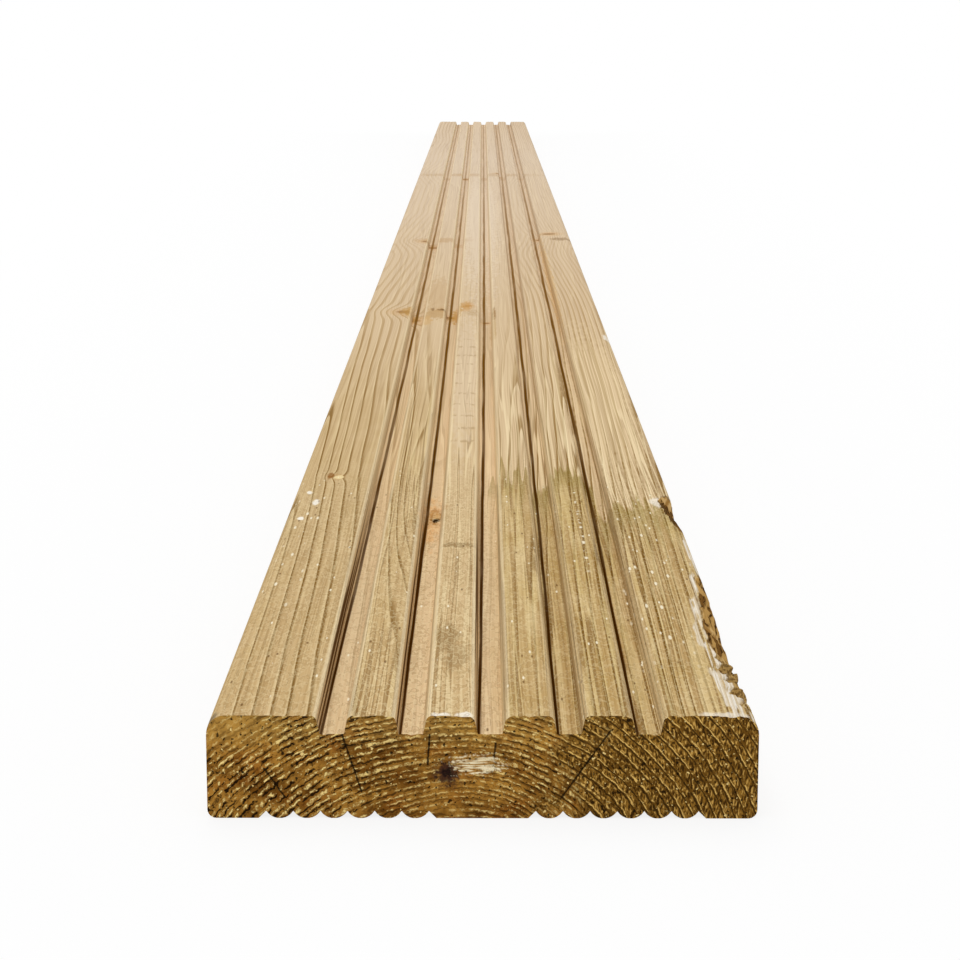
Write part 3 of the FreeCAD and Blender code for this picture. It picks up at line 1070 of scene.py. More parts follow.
def treatment_stain(spot, wood):
    """Tint the wood short of each strip's own edge, which is fingered along the grain.

    On the right the edge is sharp and the stain has gathered in it; on the left it fades out,
    and the floors of the grooves there have stayed clean.
    """
    stops = [
        (0.5 + edge / (2 * HALF_WIDTH), (end / STAIN_REACH, strength, finger / FINGER_REACH, 1.0))
        for edge, end, strength, finger in STAIN_STRIPS
    ]
    end, strength, finger = split(ramp(spot.x / (2 * HALF_WIDTH) + 0.5, stops, "CONSTANT"))
    ragged = grain_noise(spot.place, FINGER_SIZE, 1.0) * finger * (FINGER_REACH * FINGER_SPREAD)
    short_of = spot.along - end * STAIN_REACH - ragged
    sharp = step(spot.x, *SHARP_ACROSS)
    softness = span(sharp, SOFT_EDGE, SHARP_EDGE)
    clean = window(spot.z, *CLEAN_UP) * step(spot.x, *CLEAN_ACROSS)
    wood = mix(clean * step(spot.along, *CLEAN_ALONG) * 0.6, wood, CLEAN_FLOOR)
    stain = step(short_of, softness, softness * -1.0) * strength * span(clean, 1.0, 0.4)
    stain = stain * (grain_noise(spot.place, CLOUDY_SIZE) * 0.5 + 0.9)
    wood = mix(stain, wood, STAIN_TINT, "MULTIPLY")
    tips = step(short_of, -70.0, -6.0) * step(short_of, 4.0, -4.0) * sharp * strength
    return mix(tips * 0.5, wood, STAIN_TIPS)


print("stain ends at", [end for _, end, _, _ in STAIN_STRIPS], "mm, from left to right")

# %% Blots
def blot_group():
    """A soft-edged patch: 1 inside an oval about a centre, frayed by a given noise, 0 outside."""
    tree, wires = new_group("Blot", Place="Vector", Fray="Float", Centre="Vector", Radii="Vector")
    place, fray, centre, radii = wires
    away = length(vector_math("DIVIDE", vector_math("SUBTRACT", place, centre), radii))
    return put_out(tree, Mask=step(away + fray, 1.15, 0.55))


blot = blot_group()
BLOT_HEIGHT = 12.0
# Colour, strength, then the middle (across, along) and half size (across, along) in mm.
TOP_BLOTS = (
    # Bruise and brown stains on the second rib
    (paint(132, 104, 62), 0.55, (-8.3, 213.0), (8.0, 4.5)),
    (paint(150, 122, 80), 0.60, (-10.5, 84.0), (4.6, 17.0)),
    (paint(160, 132, 90), 0.55, (-7.6, 62.0), (4.4, 18.0)),
    # Small knot on the left strip, with its pale side
    (paint(240, 218, 164), 0.85, (-57.0, 340.0), (2.6, 4.0)),
    (paint(140, 92, 40), 0.85, (-60.0, 343.0), (1.6, 7.0)),
    # Ringed knot in the second groove, from outside in
    (paint(222, 166, 102), 0.60, (-19.0, 276.0), (4.4, 52.0)),
    (paint(146, 98, 44), 0.80, (-18.2, 284.0), (4.4, 17.0)),
    (paint(216, 166, 104), 0.85, (-18.0, 284.0), (3.5, 13.0)),
    (paint(140, 90, 38), 0.80, (-17.6, 283.0), (2.7, 9.5)),
    (paint(226, 186, 126), 0.70, (-17.3, 285.0), (2.0, 6.5)),
    (paint(30, 16, 6), 0.95, (-16.8, 279.0), (2.0, 4.6)),
    # Brown streak and knot on the right strip
    (paint(208, 168, 108), 0.50, (47.0, 1110.0), (2.2, 330.0)),
    (paint(128, 94, 58), 0.50, (63.0, 1396.0), (9.5, 15.0)),
    # Whorl of knots 0.9 m along, with paler and darker wood round it
    (paint(182, 144, 90), 0.60, (-28.0, 884.0), (9.0, 28.0)),
    (paint(104, 70, 26), 0.75, (-24.5, 906.0), (3.8, 6.0)),
    (paint(96, 64, 26), 0.70, (-30.5, 908.0), (1.0, 10.0)),
    (paint(176, 144, 98), 0.50, (-4.5, 890.0), (6.5, 18.0)),
    (paint(150, 110, 58), 0.75, (7.0, 886.0), (1.3, 36.0)),
    (paint(186, 152, 100), 0.55, (6.2, 815.0), (2.0, 60.0)),
    (paint(196, 148, 84), 0.75, (-9.5, 926.0), (4.2, 30.0)),
    (paint(226, 207, 180), 0.28, (-8.6, 640.0), (6.5, 280.0)),
    (paint(190, 156, 112), 0.40, (-29.0, 985.0), (9.0, 120.0)),
    (paint(230, 206, 164), 0.36, (56.0, 560.0), (17.0, 260.0)),
    (paint(186, 140, 70), 0.75, (-16.5, 908.0), (4.4, 42.0)),
    (paint(204, 166, 112), 0.60, (-33.0, 850.0), (3.4, 24.0)),
    (paint(188, 146, 82), 0.65, (-44.0, 897.0), (7.0, 26.0)),
    # Far bands of knots, and a pale painted sheen between them
    (paint(178, 142, 98), 0.32, (-5.0, 2205.0), (75.0, 30.0)),
    (paint(184, 146, 100), 0.40, (-30.0, 1385.0), (26.0, 22.0)),
    (paint(232, 217, 196), 0.36, (-1.0, 1600.0), (16.0, 700.0)),
    # Torn white spots at the right edge, and flakes on the left strip
    (paint(238, 230, 216), 0.80, (70.5, 775.0), (2.6, 16.0)),
    (paint(240, 232, 218), 0.75, (66.0, 289.0), (3.4, 9.0)),
    (paint(250, 244, 230), 0.90, (-66.1, 308.0), (1.4, 4.0)),
    (paint(250, 244, 230), 0.90, (-62.4, 289.0), (1.6, 5.5)),
    (paint(250, 244, 230), 0.90, (-66.2, 258.0), (1.3, 3.4)),
    # Pale chips at the near arris, and painted grey shade at its left corner
    (paint(248, 242, 230), 0.85, (-11.0, 1.0), (2.8, 2.6)),
    (paint(248, 242, 230), 0.85, (-4.6, 1.0), (2.6, 2.6)),
    (paint(248, 242, 230), 0.55, (63.5, 1.0), (7.0, 3.0)),
    (paint(70, 66, 64), 0.60, (-71.0, 2.0), (1.6, 5.0)),
)


def blot_mask(spot, fray, centre, radii):
    """Mask of one blot about a centre, in mm."""
    return use(blot, spot.tree, Place=spot.place, Fray=fray, Centre=centre, Radii=radii)["Mask"]


def blots(spot, wood):
    """Knots, stains, pale bruises, painted sheen and shade on the walking face, each a blot."""
    for colour, strength, (middle_x, middle_along), half_size in TOP_BLOTS:
        centre = (middle_x, middle_along + NEAR_END, THICKNESS)
        mask = blot_mask(spot, spot.fray, centre, (*half_size, BLOT_HEIGHT))
        wood = mix(mask * strength, wood, colour)
    return wood


print(f"{len(TOP_BLOTS)} blots on the walking face")

# %% Marks of rollers, resin and the treatment, and painted shade beside curls
OLIVE = paint(166, 138, 84)
ROLLER_MARK = paint(152, 120, 80)
PALE_CURL = paint(244, 226, 180)
# Painted shade beside each pale curl.
CURL_PAINTED_SHADE = paint(146, 110, 56)
PALE_SPECK = paint(248, 238, 210)
DARK_SPECK = paint(100, 68, 32)
ROLLER_PITCH = 34.0
# Stretches across and along the board, each with its ease.
ROLLER_PATCH = ((-13.6, -3.4, 0.8), (410.0, 790.0, 20.0))
LEFT_FLAKES = ((-69.0, -59.0, 1.5), (120.0, 330.0, 20.0))
RIGHT_FLAKES = ((46.0, 62.0, 2.0), (60.0, 290.0, 30.0))
SPECK_ROW = ((34.6, 35.6, 0.4), (170.0, 320.0, 6.0))
OLIVE_ACROSS = (16.0, 30.0)
OLIVE_ALONG = (330.0, 800.0, 90.0)
CURLY_ACROSS = (-35.0, 0.0, 4.0)
ROW_SIZE = (4.0, 5.0, 4.0)
CURL_SIZE = (1.5, 4.2, 1.5)
SPECK_SIZE = (2.2, 11.0, 2.2)
FLAKE_SIZE = (2.4, 13.0, 2.4)
DARK_SPECK_SIZE = (2.6, 12.0, 2.6)


def roller_marks(spot):
    """Bars that a feed roller left across the second rib, one to each pitch, frayed."""
    bars = contour((spot.along / ROLLER_PITCH).math("FRACT"), 0.5, 0.12, 0.05)
    return bars * spot.patch(*ROLLER_PATCH) * step(spot.fray, -0.1, 0.2)


def pale_specks(spot):
    """Specks over the treated part, larger flakes on both outer strips, and a row on one rib."""
    fine = specks(spot.place, SPECK_SIZE, 0.22, 0.19) * spot.treated
    outer_strips = greatest(spot.patch(*LEFT_FLAKES), spot.patch(*RIGHT_FLAKES))
    flakes = specks(spot.place, FLAKE_SIZE, 0.55, 0.25) * outer_strips
    row = spot.patch(*SPECK_ROW) * step(grain_noise(spot.place, ROW_SIZE, 1.0), 0.06, 0.2)
    return greatest(fine, flakes, row)


def surface_marks(spot, wood, streak):
    """Olive streaks, roller marks, curls and specks; returns the colour and the curls' height.

    Curls are contours of a fine noise, a pale one beside a painted shade.
    """
    olive = step(streak, 0.08, 0.3) * step(spot.x, *OLIVE_ACROSS) * window(spot.along, *OLIVE_ALONG)
    curl = grain_noise(spot.place, CURL_SIZE, 1.0)
    pale_curl = contour(curl, 0.0, 0.14, 0.04) * spot.treated
    # Painted shade: a dark contour beside each pale curl.
    curl_painted_shade = contour(curl, 0.2, 0.12, 0.04) * spot.treated
    curly = span(window(spot.x, *CURLY_ACROSS), 0.18, 0.26)
    elsewhere = vector_math("ADD", spot.place, (7.0, 3.0, 5.0))
    dark_specks = specks(elsewhere, DARK_SPECK_SIZE, 0.24, 0.17) * spot.treated
    wood = coats(
        wood,
        (olive * 0.4, OLIVE),
        (roller_marks(spot) * 0.4, ROLLER_MARK),
        (pale_curl * curly, PALE_CURL),
        (curl_painted_shade * curly, CURL_PAINTED_SHADE),
        (pale_specks(spot) * 0.85, PALE_SPECK),
        (dark_specks * 0.7, DARK_SPECK),
    )
    return wood, pale_curl - curl_painted_shade


print(f"roller marks every {ROLLER_PITCH:.0f} mm")

# %% Groove walls with painted highlight, and painted shade and grime at their feet
# Painted highlight that lightens the groove walls and the rib shoulders.
WALL_PAINTED_HIGHLIGHT = paint(252, 234, 194)
# Painted shade with grime at the foot of the left walls, brown with darker lines.
FOOT_PAINTED_SHADE = paint(190, 146, 90)
FOOT_PAINTED_SHADE_LINE = paint(78, 44, 6)
DARK_WALL_LINE = paint(150, 110, 54)
PALE_WALL_LINE = paint(244, 218, 166)
# Painted shade with grime: the dark line at each groove's left foot, darkest near by.
NEAR_SHADE_AND_DIRT = paint(62, 32, 0)
FAR_SHADE_AND_DIRT = paint(134, 94, 34)
DRIFT_LENGTH = 650.0
SHADE_DIRT_DRIFT = 2.6
SHADE_DIRT_SIDE = -2.9
SHADE_DIRT_FADE = (700.0, 2600.0)
# Stretches of the distance from a groove's middle, each with its ease.
BOTH_WALLS = (3.3, 5.1, 0.3)
LEFT_FOOT = (-4.15, -2.3, 0.15)
RIGHT_WALL = (3.2, 4.6, 0.2)
DULLER_ACROSS = (2.0, 20.0)
FOOT_ACROSS = (8.0, -4.0)
LINE_SIZE = (0.75, 300.0, 1.0)
UNEVEN_SIZE = (6.0, 130.0, 6.0)


def groove_side(x):
    """Distance from the middle of the nearest groove, less than zero on its left, and a mask of
    the part of the board that has grooves.
    """
    from_start = x - (float(GROOVE_CENTRES[0]) - GROOVE_PITCH / 2)
    grooved_width = len(GROOVE_CENTRES) * GROOVE_PITCH
    grooved = from_start.math("GREATER_THAN", 0.0) * from_start.math("LESS_THAN", grooved_width)
    return (from_start / GROOVE_PITCH).math("FRACT") * GROOVE_PITCH - GROOVE_PITCH / 2, grooved


def grooves(spot, wood):
    """Painted highlight on walls and shoulders; painted shade and grime in lines at each left foot.

    The darkest line drifts inwards and fades with the distance: both by 1 - e^(-along / length).
    Near by, finer lines run beside it up the wall.
    """
    side, grooved = groove_side(spot.x)
    off = abs(side)
    drift = span((spot.along / -DRIFT_LENGTH).math("EXPONENT"), 1.0, 0.0)
    # Painted highlight over both walls and shoulders, weaker to the right and further along.
    wall_highlight = window(off, *BOTH_WALLS) * grooved
    paler = span(step(spot.x, *DULLER_ACROSS), 0.5, 0.2) - drift * 0.16
    down = bundle(spot.tree, off + spot.z * 0.25, spot.along, spot.x / 20.0)
    lines = grain_noise(down, LINE_SIZE, 1.0)
    dark_lines = step(lines, 0.02, -0.12)
    # Painted shade with grime at the foot of each left wall, near the end, on the left grooves.
    foot = window(side, *LEFT_FOOT) * grooved * step(drift, 0.5, 0.2) * step(spot.x, *FOOT_ACROSS)
    right_wall = window(side, *RIGHT_WALL) * grooved * spot.near
    uneven = grain_noise(spot.place, UNEVEN_SIZE, 3.0)
    # Painted shade with grime: a line at the left foot that drifts inwards and fades along the
    # board.
    from_shade_dirt = abs(side - drift * SHADE_DIRT_DRIFT - SHADE_DIRT_SIDE + uneven * 0.6) / (drift * 0.6 + 0.45)
    shade_and_dirt = step(from_shade_dirt, 1.3, 0.5) * grooved * span(step(uneven, -0.4, 0.1), 0.8, 1.0)
    shade_and_dirt = shade_and_dirt * span(step(spot.along, *SHADE_DIRT_FADE), 1.0, 0.5)
    return coats(
        wood,
        (wall_highlight * paler, WALL_PAINTED_HIGHLIGHT),
        (foot * 0.5, FOOT_PAINTED_SHADE),
        (foot * dark_lines * 0.92, FOOT_PAINTED_SHADE_LINE),
        (right_wall * dark_lines * 0.4, DARK_WALL_LINE),
        (right_wall * step(lines, 0.04, 0.2) * 0.4, PALE_WALL_LINE),
        (shade_and_dirt, mix(step(drift, 0.2, 1.1), NEAR_SHADE_AND_DIRT, FAR_SHADE_AND_DIRT)),
    )


print(f"groove dirt drifts {SHADE_DIRT_DRIFT} mm to the right over the length")

# %% Wane, bark and torn fibre in colour
PALE_WANE = paint(206, 170, 112)
BROWN_WANE = paint(156, 116, 60)
PALE_SPLINTER = paint(176, 142, 84)
DARK_SPLINTER = paint(92, 66, 26)
WHITE_FIBRE = paint(246, 240, 228)
STRAW_FIBRE = paint(206, 186, 150)
WANE_RIM = paint(84, 54, 22)
PALE_BARK = paint(186, 146, 84)
BROWN_BARK = paint(116, 80, 36)
BARK_HOLLOW = paint(60, 38, 20)
# Painted shadow along the edges of the bark flakes.
BARK_PAINTED_SHADOW = paint(52, 30, 10)
PATCH_SIZE = (2.0, 15.0, 2.0)
RAGGED_ALONG = (80.0, 55.0)
HOLLOW_ALONG = (246.0, 292.0, 6.0)


def wane_colours(spot, wood, fibre):
    """Bare wane, pale torn fibre, dark rims and crusts of bark, by the values at the points."""
    bark, torn, wane = (spot.attribute(name) for name in ("bark", "torn", "wane"))
    patchy = grain_noise(spot.place, PATCH_SIZE)
    bare = mix(step(patchy, -0.25, 0.3), PALE_WANE, BROWN_WANE)
    ragged = mix(step(fibre, -0.15, 0.15), PALE_SPLINTER, DARK_SPLINTER)
    bare = mix(step(spot.along, *RAGGED_ALONG) * 0.75, bare, ragged)
    pale = mix(step(fibre, -0.2, 0.3), WHITE_FIBRE, STRAW_FIBRE)
    rim = window(wane, 0.2, 0.6, 0.14) * step(patchy, -0.1, 0.25)
    hollow = window(spot.along, *HOLLOW_ALONG) * step(patchy, 0.2, -0.1)
    crust = coats(
        mix(step(patchy, -0.25, 0.25), PALE_BARK, BROWN_BARK),
        (hollow * 0.85, BARK_HOLLOW),
        # Painted shadow round each bark flake.
        (contour(patchy, 0.08, 0.09, 0.03) * 0.9, BARK_PAINTED_SHADOW),
    )
    return coats(
        wood,
        (step(wane, 0.3, 0.8), bare),
        (step(torn + fibre * 0.7, 0.45, 0.9) * 0.85, pale),
        (rim * 0.8, WANE_RIM),
        (step(bark + patchy * 0.5, 0.4, 0.6), crust),
    )


print(f"dark hollow in the bark {HOLLOW_ALONG[0]:.0f} to {HOLLOW_ALONG[1]:.0f} mm along")

# %% Planed softwood
FIBRE_RELIEF = 0.2


def planed_softwood():
    """Planed and treated wood for the faces that run along the board."""
    material, shader, spot = new_material("planed softwood")
    wood, fibre, streak = grain(spot)
    wood = treatment_stain(spot, wood)
    wood = blots(spot, wood)
    wood, curls = surface_marks(spot, wood, streak)
    wood = grooves(spot, wood)
    wood = wane_colours(spot, wood, fibre)
    join(spot.tree, wood, shader.inputs["Base Color"])
    join(spot.tree, fibre * 0.08 + 0.68, shader.inputs["Roughness"])
    shader.inputs["Specular IOR Level"].default_value = 0.0
    relief(spot, shader, curls * 0.3 + fibre * spot.close * 0.4, FIBRE_RELIEF)
    return material


board.data.materials.append(planed_softwood())
print(f"planed softwood in {len(board.data.materials[0].node_tree.nodes)} nodes")

# %% [markdown]
# ## The sawn ends
#
# End grain drinks the treatment, so it is far darker than the faces. The saw leaves it fuzzy: pale
# dashes of fibre lie along the rings with dark gaps between. The same rings are used as on the
# faces, and the dashes are noise drawn out along the ring, so they follow every arc.

# %% A crack
def crack_group():
    """A straight crack: 1 within its width of the piece that runs from Start, 0 beyond."""
    tree, wires = new_group("Crack", Place="Vector", Fray="Float", Start="Vector", Run="Vector")
    place, fray, start, run = wires
    flat = vector_math("MULTIPLY", place, (1.0, 0.0, 1.0))
    offset = vector_math("SUBTRACT", flat, start)
    share = (dot(offset, run) / dot(run, run)).math("MAXIMUM", 0.0).math("MINIMUM", 1.0)
    away = length(vector_math("SUBTRACT", offset, vector_math("SCALE", run, share)))
    return put_out(tree, Mask=step(away + fray * 0.35, 0.4, 0.1))


crack = crack_group()
print(f"a crack in {len(crack.nodes)} nodes")

# %% Fuzzy rings on the left
BROWN_END = paint(112, 70, 16)
TAN_END = paint(178, 128, 52)
RUDDY_END = paint(170, 100, 30)
PALE_END = paint(216, 176, 92)
GAP_BROWN = paint(60, 32, 4)
LATE_BROWN = paint(32, 15, 0)
FUZZ_CREAM = paint(255, 225, 145)
# Strides that set each ring's row of noise apart from the next one's.
ROW_STRIDE = 7.31
ROW_STRIDE_UP = 3.17
CLOUD_SIZE = (14.0, 14.0, 8.0)
WISP_SIZE = (3.5, 9.0, 3.0)
RUDDY_SIZE = (11.0, 9.0, 7.0)
FAINT_MIDDLE = -8.0
FAINT_WIDTH = 20.0
CALM_ACROSS = (-50.0, -64.0)
CALM_UP = (14.0, 22.0)
PALE_UP = (17.0, 25.0)


def ring_dashes(ring, around, dash_length, shift):
    """Noise along each ring, different from ring to ring, so that thresholds give dashes."""
    row = ring.math("FLOOR")
    row_place = bundle(ring.tree, row * ROW_STRIDE + shift, around, row * ROW_STRIDE_UP)
    return grain_noise(row_place, (1.0, dash_length, 1.0), 1.0)


def fuzzy_rings(spot, ring, around, fuzz):
    """Left part of the end: narrow rings, each a broken dark line with pale dashes behind it.

    They are fainter round the heart and calm in the upper left corner. Returns the colour and
    the height of the dashes.
    """
    phase = ring.math("FRACT")
    dash = ring_dashes(ring, around, dash_length=2.6, shift=0.0) + fuzz * 0.5
    gap = ring_dashes(ring, around, dash_length=1.5, shift=40.0) + fuzz * 0.6
    cloud = grain_noise(spot.place, CLOUD_SIZE) + grain_noise(spot.place, WISP_SIZE) * 0.8
    ruddy = grain_noise(spot.place, RUDDY_SIZE, 1.0)
    calm = step(spot.x, *CALM_ACROSS) * step(spot.z, *CALM_UP)
    bold = span((spot.x - FAINT_MIDDLE).bell(FAINT_WIDTH), 1.0, 0.55) * span(calm, 1.0, 0.35)
    bright = window(phase, 0.06, 0.36, 0.07) * step(gap, -0.2, 0.3) * bold
    wood = coats(
        mix(step(cloud, -0.5, 0.5), BROWN_END, TAN_END),
        (step(ruddy, 0.0, 0.4) * 0.35, RUDDY_END),
        (step(spot.z, *PALE_UP) * 0.25, PALE_END),
        (window(phase, 0.46, 0.6, 0.1) * step(gap, 0.05, -0.2) * 0.7, GAP_BROWN),
        (window(phase, 0.68, 0.96, 0.05) * step(dash, -0.35, 0.1) * bold, LATE_BROWN),
        (bright, FUZZ_CREAM),
    )
    return wood, bright


print(f"{len(CRACK_PIECES)} straight pieces of crack cross the rings")

# %% Laddered rings on the right
DARK_RING = paint(104, 70, 18)
LIGHT_RING = paint(150, 108, 40)
CELL_BROWN = paint(40, 20, 0)
CELL_CREAM = paint(222, 176, 92)
RING_LINE = paint(30, 14, 0)
RING_EDGE = paint(240, 198, 112)
NARROW_RINGS = 1.3
BROAD_RINGS = 0.8
CELL_SIZE = (0.9, 0.9, 1.0)


def laddered_rings(ring, around, fuzz):
    """Right part of the end: broad dark rings, dotted in rows across, with thin pale edges.

    Returns the colour and the height of the dots and edges.
    """
    phase = ring.math("FRACT")
    cells_place = bundle(ring.tree, ring * (RING_WIDTH / BROAD_RINGS), around, 70.0)
    cells = grain_noise(cells_place, CELL_SIZE, 1.0)
    dash = ring_dashes(ring, around, dash_length=2.4, shift=90.0) + fuzz * 0.5
    inner = window(phase, 0.14, 0.74, 0.08)
    bright = inner * step(cells, 0.11, 0.23) * 0.7
    edge = step(phase, 0.15, 0.09) * step(dash, -0.2, 0.08) * 0.85
    wood = coats(
        mix(step(dash, -0.3, 0.3), DARK_RING, LIGHT_RING),
        (inner * step(cells, -0.03, -0.17) * 0.8, CELL_BROWN),
        (bright, CELL_CREAM),
        (window(phase, 0.78, 0.95, 0.04) * step(dash, -0.4, -0.1) * 0.85, RING_LINE),
        (edge, RING_EDGE),
    )
    return wood, greatest(bright, edge)


print(
    f"rings {RING_WIDTH / NARROW_RINGS:.1f} mm wide on the left,"
    f" {RING_WIDTH / BROAD_RINGS:.1f} mm on the right"
)

# %% Both ring patterns together
PALE_PIT = paint(250, 218, 142)
DARK_PIT = paint(26, 12, 0)
END_SWAY = 0.3
JITTER_ACROSS = (24.0, 8.0)
BROAD_ACROSS = (12.0, 30.0)
BROAD_FRAY = 30.0
BROAD_FRAY_SIZE = (9.0, 9.0, 9.0)
JITTER_SIZE = (1.5, 30.0, 1.5)
FUZZ_SIZE = (0.6, 9.0, 0.6)
PIT_SIZE = (1.3, 9.0, 1.3)


def end_rings(spot):
    """Both ring patterns blended across the end, with bright and dark pits; colour and height."""
    rings = use(growth_rings, spot.tree, Place=spot.place, Lift=0.0, Sway=END_SWAY)
    jitter = span(step(spot.x, *JITTER_ACROSS), 0.22, 0.34)
    ring = rings["Ring"] + grain_noise(spot.place, JITTER_SIZE) * jitter
    fuzz = grain_noise(spot.place, FUZZ_SIZE, 1.0)
    left_wood, left_height = fuzzy_rings(spot, ring * NARROW_RINGS, rings["Around"], fuzz)
    right_wood, right_height = laddered_rings(ring * BROAD_RINGS, rings["Around"], fuzz)
    border = grain_noise(spot.place, BROAD_FRAY_SIZE) * BROAD_FRAY
    right = step(spot.x + border, *BROAD_ACROSS)
    pits = grain_noise(spot.place, PIT_SIZE, 1.0)
    pale_pits = step(pits, 0.34, 0.44)
    dark_pits = step(pits, -0.3, -0.42)
    wood = coats(
        mix(right, left_wood, right_wood),
        (pale_pits * 0.9, PALE_PIT),
        (dark_pits * 0.9, DARK_PIT),
    )
    height = left_height * span(right, 1.0, 0.0) + right_height * right
    return wood, height + pale_pits - dark_pits


print(f"rings broaden {BROAD_ACROSS[0]:.0f} to {BROAD_ACROSS[1]:.0f} mm right of the middle")

# %% Sawn end grain
# Painted shade inside the cracks of the sawn ends.
CRACK_PAINTED_SHADE = paint(24, 12, 2)
SLIVER_CREAM = paint(255, 240, 200)
SLIVER_TAN = paint(180, 132, 62)
SLIVER_SIZE = (6.6, 2.7)
SLAT_SIZE = (5.0, 9.0, 0.55)
END_BLOT_DEPTH = 40.0
END_BLOT_FADE = (40.0, 20.0)
END_FRAY_SIZE = (1.0, 9.0, 1.0)
END_RELIEF = 0.3
# The end's knot from outside in: half size, strength and colour.
KNOT_SHADES = (
    (4.6, 0.45, paint(96, 64, 40)), (3.2, 0.85, paint(56, 32, 26)), (1.5, 0.8, paint(22, 10, 12)),
)


def end_blot(spot, fray, middle, half_size):
    """Mask of a blot on the near end, which is kept off the far one."""
    centre = (middle[0], NEAR_END, middle[1])
    mask = blot_mask(spot, fray, centre, (half_size[0], END_BLOT_DEPTH, half_size[1]))
    return mask * step(spot.along, *END_BLOT_FADE)


def sawn_end_grain():
    """Treated end grain for the two sawn ends, with the near end's cracks, knot and sliver."""
    material, shader, spot = new_material("sawn end grain")
    wood, height = end_rings(spot)
    fray = grain_noise(spot.place, END_FRAY_SIZE)
    # Each crack is drawn as a dark line: painted shade in the split.
    for (start_x, start_z), (end_x, end_z) in CRACK_PIECES:
        mask = use(crack, spot.tree, Place=spot.place, Fray=fray, Start=(start_x, 0.0, start_z),
                   Run=(end_x - start_x, 0.0, end_z - start_z))["Mask"]
        wood = mix(mask * 0.9, wood, CRACK_PAINTED_SHADE)
    for half, strength, colour in KNOT_SHADES:
        wood = mix(end_blot(spot, fray, END_KNOT, (half, half)) * strength, wood, colour)
    slats = grain_noise(spot.place, SLAT_SIZE, 1.0)
    sliver = end_blot(spot, fray + slats * 0.5, PLUCKED, SLIVER_SIZE)
    wood = mix(sliver * 0.9, wood, mix(step(slats, -0.1, 0.2), SLIVER_CREAM, SLIVER_TAN))
    join(spot.tree, wood, shader.inputs["Base Color"])
    shader.inputs["Roughness"].default_value = 0.75
    shader.inputs["Specular IOR Level"].default_value = 0.05
    relief(spot, shader, height, END_RELIEF)
    return material


board.data.materials.append(sawn_end_grain())
print(f"sawn end grain in {len(board.data.materials[1].node_tree.nodes)} nodes")

# %% [markdown]
# ## Studio
#
# The board lies on a plain white floor under one wide soft lamp, with a little light from all
# round. The floor shows itself to the camera as plain white, and keeps a share of real shading so
# that the board still casts a faint shadow.

# %% Floor and surroundings
FLOOR_SIZE = 60.0
FLOOR_PAPER = (0.9, 0.9, 0.9, 1.0)
FLOOR_SHADE = 0.16
SHADOW_REACH = 0.35
WHITE = (1.0, 1.0, 1.0, 1.0)
ALL_ROUND = 0.65


def seen_directly(tree):
    """1 for rays from the camera and for mirrored or passed-through ones, 0 for light."""
    path = tree.nodes.new("ShaderNodeLightPath")
    return greatest(*(
        Wire(tree, path.outputs[f"Is {kind} Ray"]) for kind in ("Camera", "Glossy", "Transmission")
    ))


def shadow_room(tree):
    """1 beside the board, falling to 0 at the reach of its shadow; beyond, the floor is plain."""
    coordinates = tree.nodes.new("ShaderNodeTexCoord")
    x, y, _ = split(Wire(tree, coordinates.outputs["Object"]))
    beside = abs(x) - HALF_WIDTH * MM
    beyond = abs(y) - LENGTH * MM / 2
    return step(greatest(beside, beyond), SHADOW_REACH, 0.0)


def blend_shaders(tree, factor, first, second, output_kind):
    """Mix two shader nodes by a factor wire, into a new output node."""
    blend = tree.nodes.new("ShaderNodeMixShader")
    output = tree.nodes.new(output_kind)
    join(tree, factor, blend.inputs[0])
    tree.links.new(first.outputs[0], blend.inputs[1])
    tree.links.new(second.outputs[0], blend.inputs[2])
    tree.links.new(blend.outputs[0], output.inputs["Surface"])


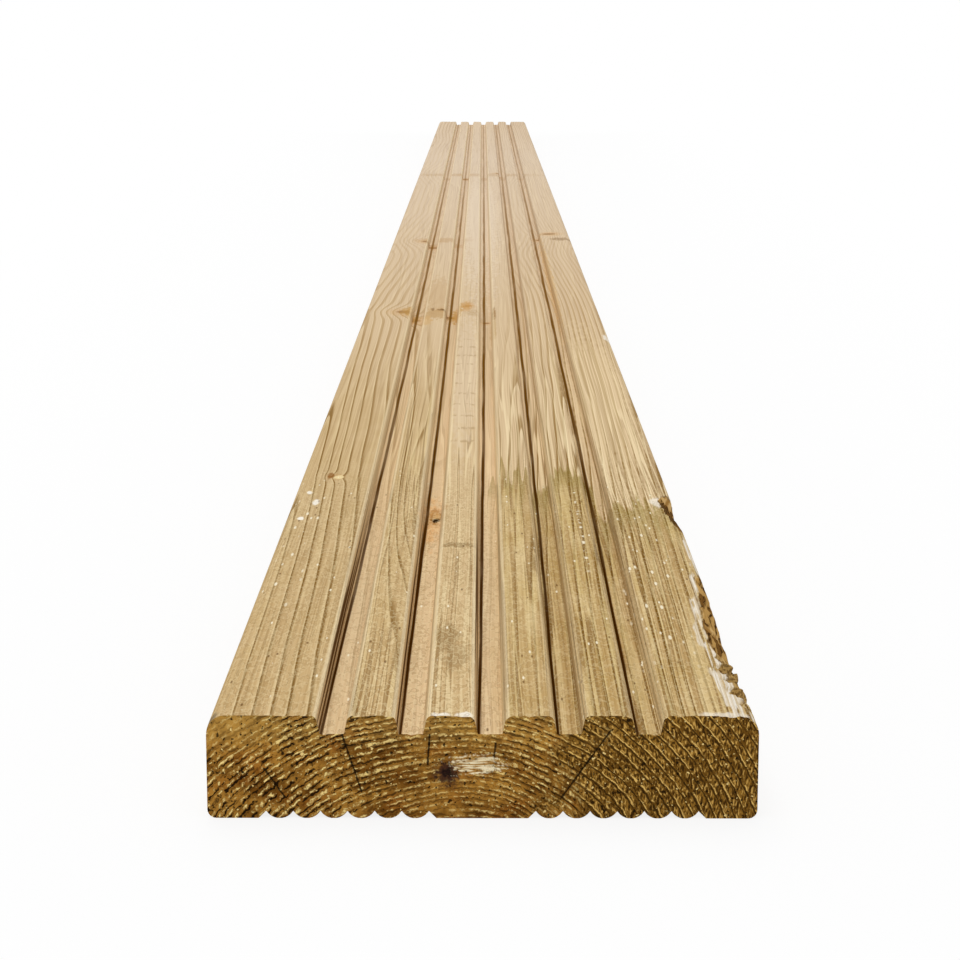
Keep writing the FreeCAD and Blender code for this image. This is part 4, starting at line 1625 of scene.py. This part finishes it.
def white_floor():
    """A square floor that looks white and keeps a faint shadow."""
    half = FLOOR_SIZE / 2
    mesh = bpy.data.meshes.new("floor")
    corners = [(-half, -half, 0), (half, -half, 0), (half, half, 0), (-half, half, 0)]
    mesh.from_pydata(corners, [], [(0, 1, 2, 3)])
    material = bpy.data.materials.new("white floor")
    material.use_nodes = True
    tree = material.node_tree
    tree.nodes.clear()
    paper = tree.nodes.new("ShaderNodeBsdfDiffuse")
    paper.inputs["Color"].default_value = FLOOR_PAPER
    glow = tree.nodes.new("ShaderNodeEmission")
    plain = seen_directly(tree) * span(shadow_room(tree), 1.0, 1.0 - FLOOR_SHADE)
    blend_shaders(tree, plain, paper, glow, "ShaderNodeOutputMaterial")
    mesh.materials.append(material)
    return add_object("floor", mesh)


def surroundings():
    """White behind the board for the eye, and a plain grey light from all round."""
    world = bpy.data.worlds.new("studio")
    world.use_nodes = True
    tree = world.node_tree
    tree.nodes.clear()
    light = tree.nodes.new("ShaderNodeBackground")
    light.inputs["Strength"].default_value = ALL_ROUND
    white = tree.nodes.new("ShaderNodeBackground")
    for background in (light, white):
        background.inputs["Color"].default_value = WHITE
    blend_shaders(tree, seen_directly(tree), light, white, "ShaderNodeOutputWorld")
    return world


floor = white_floor()
bpy.context.scene.world = surroundings()
print(f"floor {FLOOR_SIZE:.0f} m square, light of {ALL_ROUND} from all round")

# %% Lamp and camera
LAMP_SIZE = (1.8, 9.0)
LAMP_PLACE = (-0.4, -0.4, 3.2)
LAMP_POWER = 87.0
CAMERA_PLACE = (-0.0003, -2.4298, 0.20896)
CAMERA_PITCH = 10.629
CAMERA_YAW = -0.05
CAMERA_ROLL = 0.061
CAMERA_TURN = (90 - CAMERA_PITCH, -CAMERA_ROLL, -CAMERA_YAW)
LENS = 93.48
SENSOR = 36.0

lamp_data = bpy.data.lights.new("softbox", "AREA")
lamp_data.shape = "RECTANGLE"
lamp_data.size, lamp_data.size_y = LAMP_SIZE
lamp_data.energy = LAMP_POWER
lamp = add_object("softbox", lamp_data)
lamp.location = LAMP_PLACE
lamp.rotation_euler = (0.0, math.atan2(LAMP_PLACE[0], LAMP_PLACE[2]), 0.0)
camera_data = bpy.data.cameras.new("camera")
camera_data.lens = LENS
camera_data.sensor_width = SENSOR
camera = add_object("camera", camera_data)
camera.location = CAMERA_PLACE
camera.rotation_euler = [math.radians(angle) for angle in CAMERA_TURN]
bpy.context.scene.camera = camera
bpy.context.scene.view_settings.view_transform = "Standard"
print(f"lamp of {LAMP_POWER:.0f} W, lens of {LENS} mm looking down {CAMERA_PITCH} degrees")

# %% Tie the pieces to the frame
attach(board, "root")
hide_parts(NODE)
print(f"{board.name} stands for {NODE}")
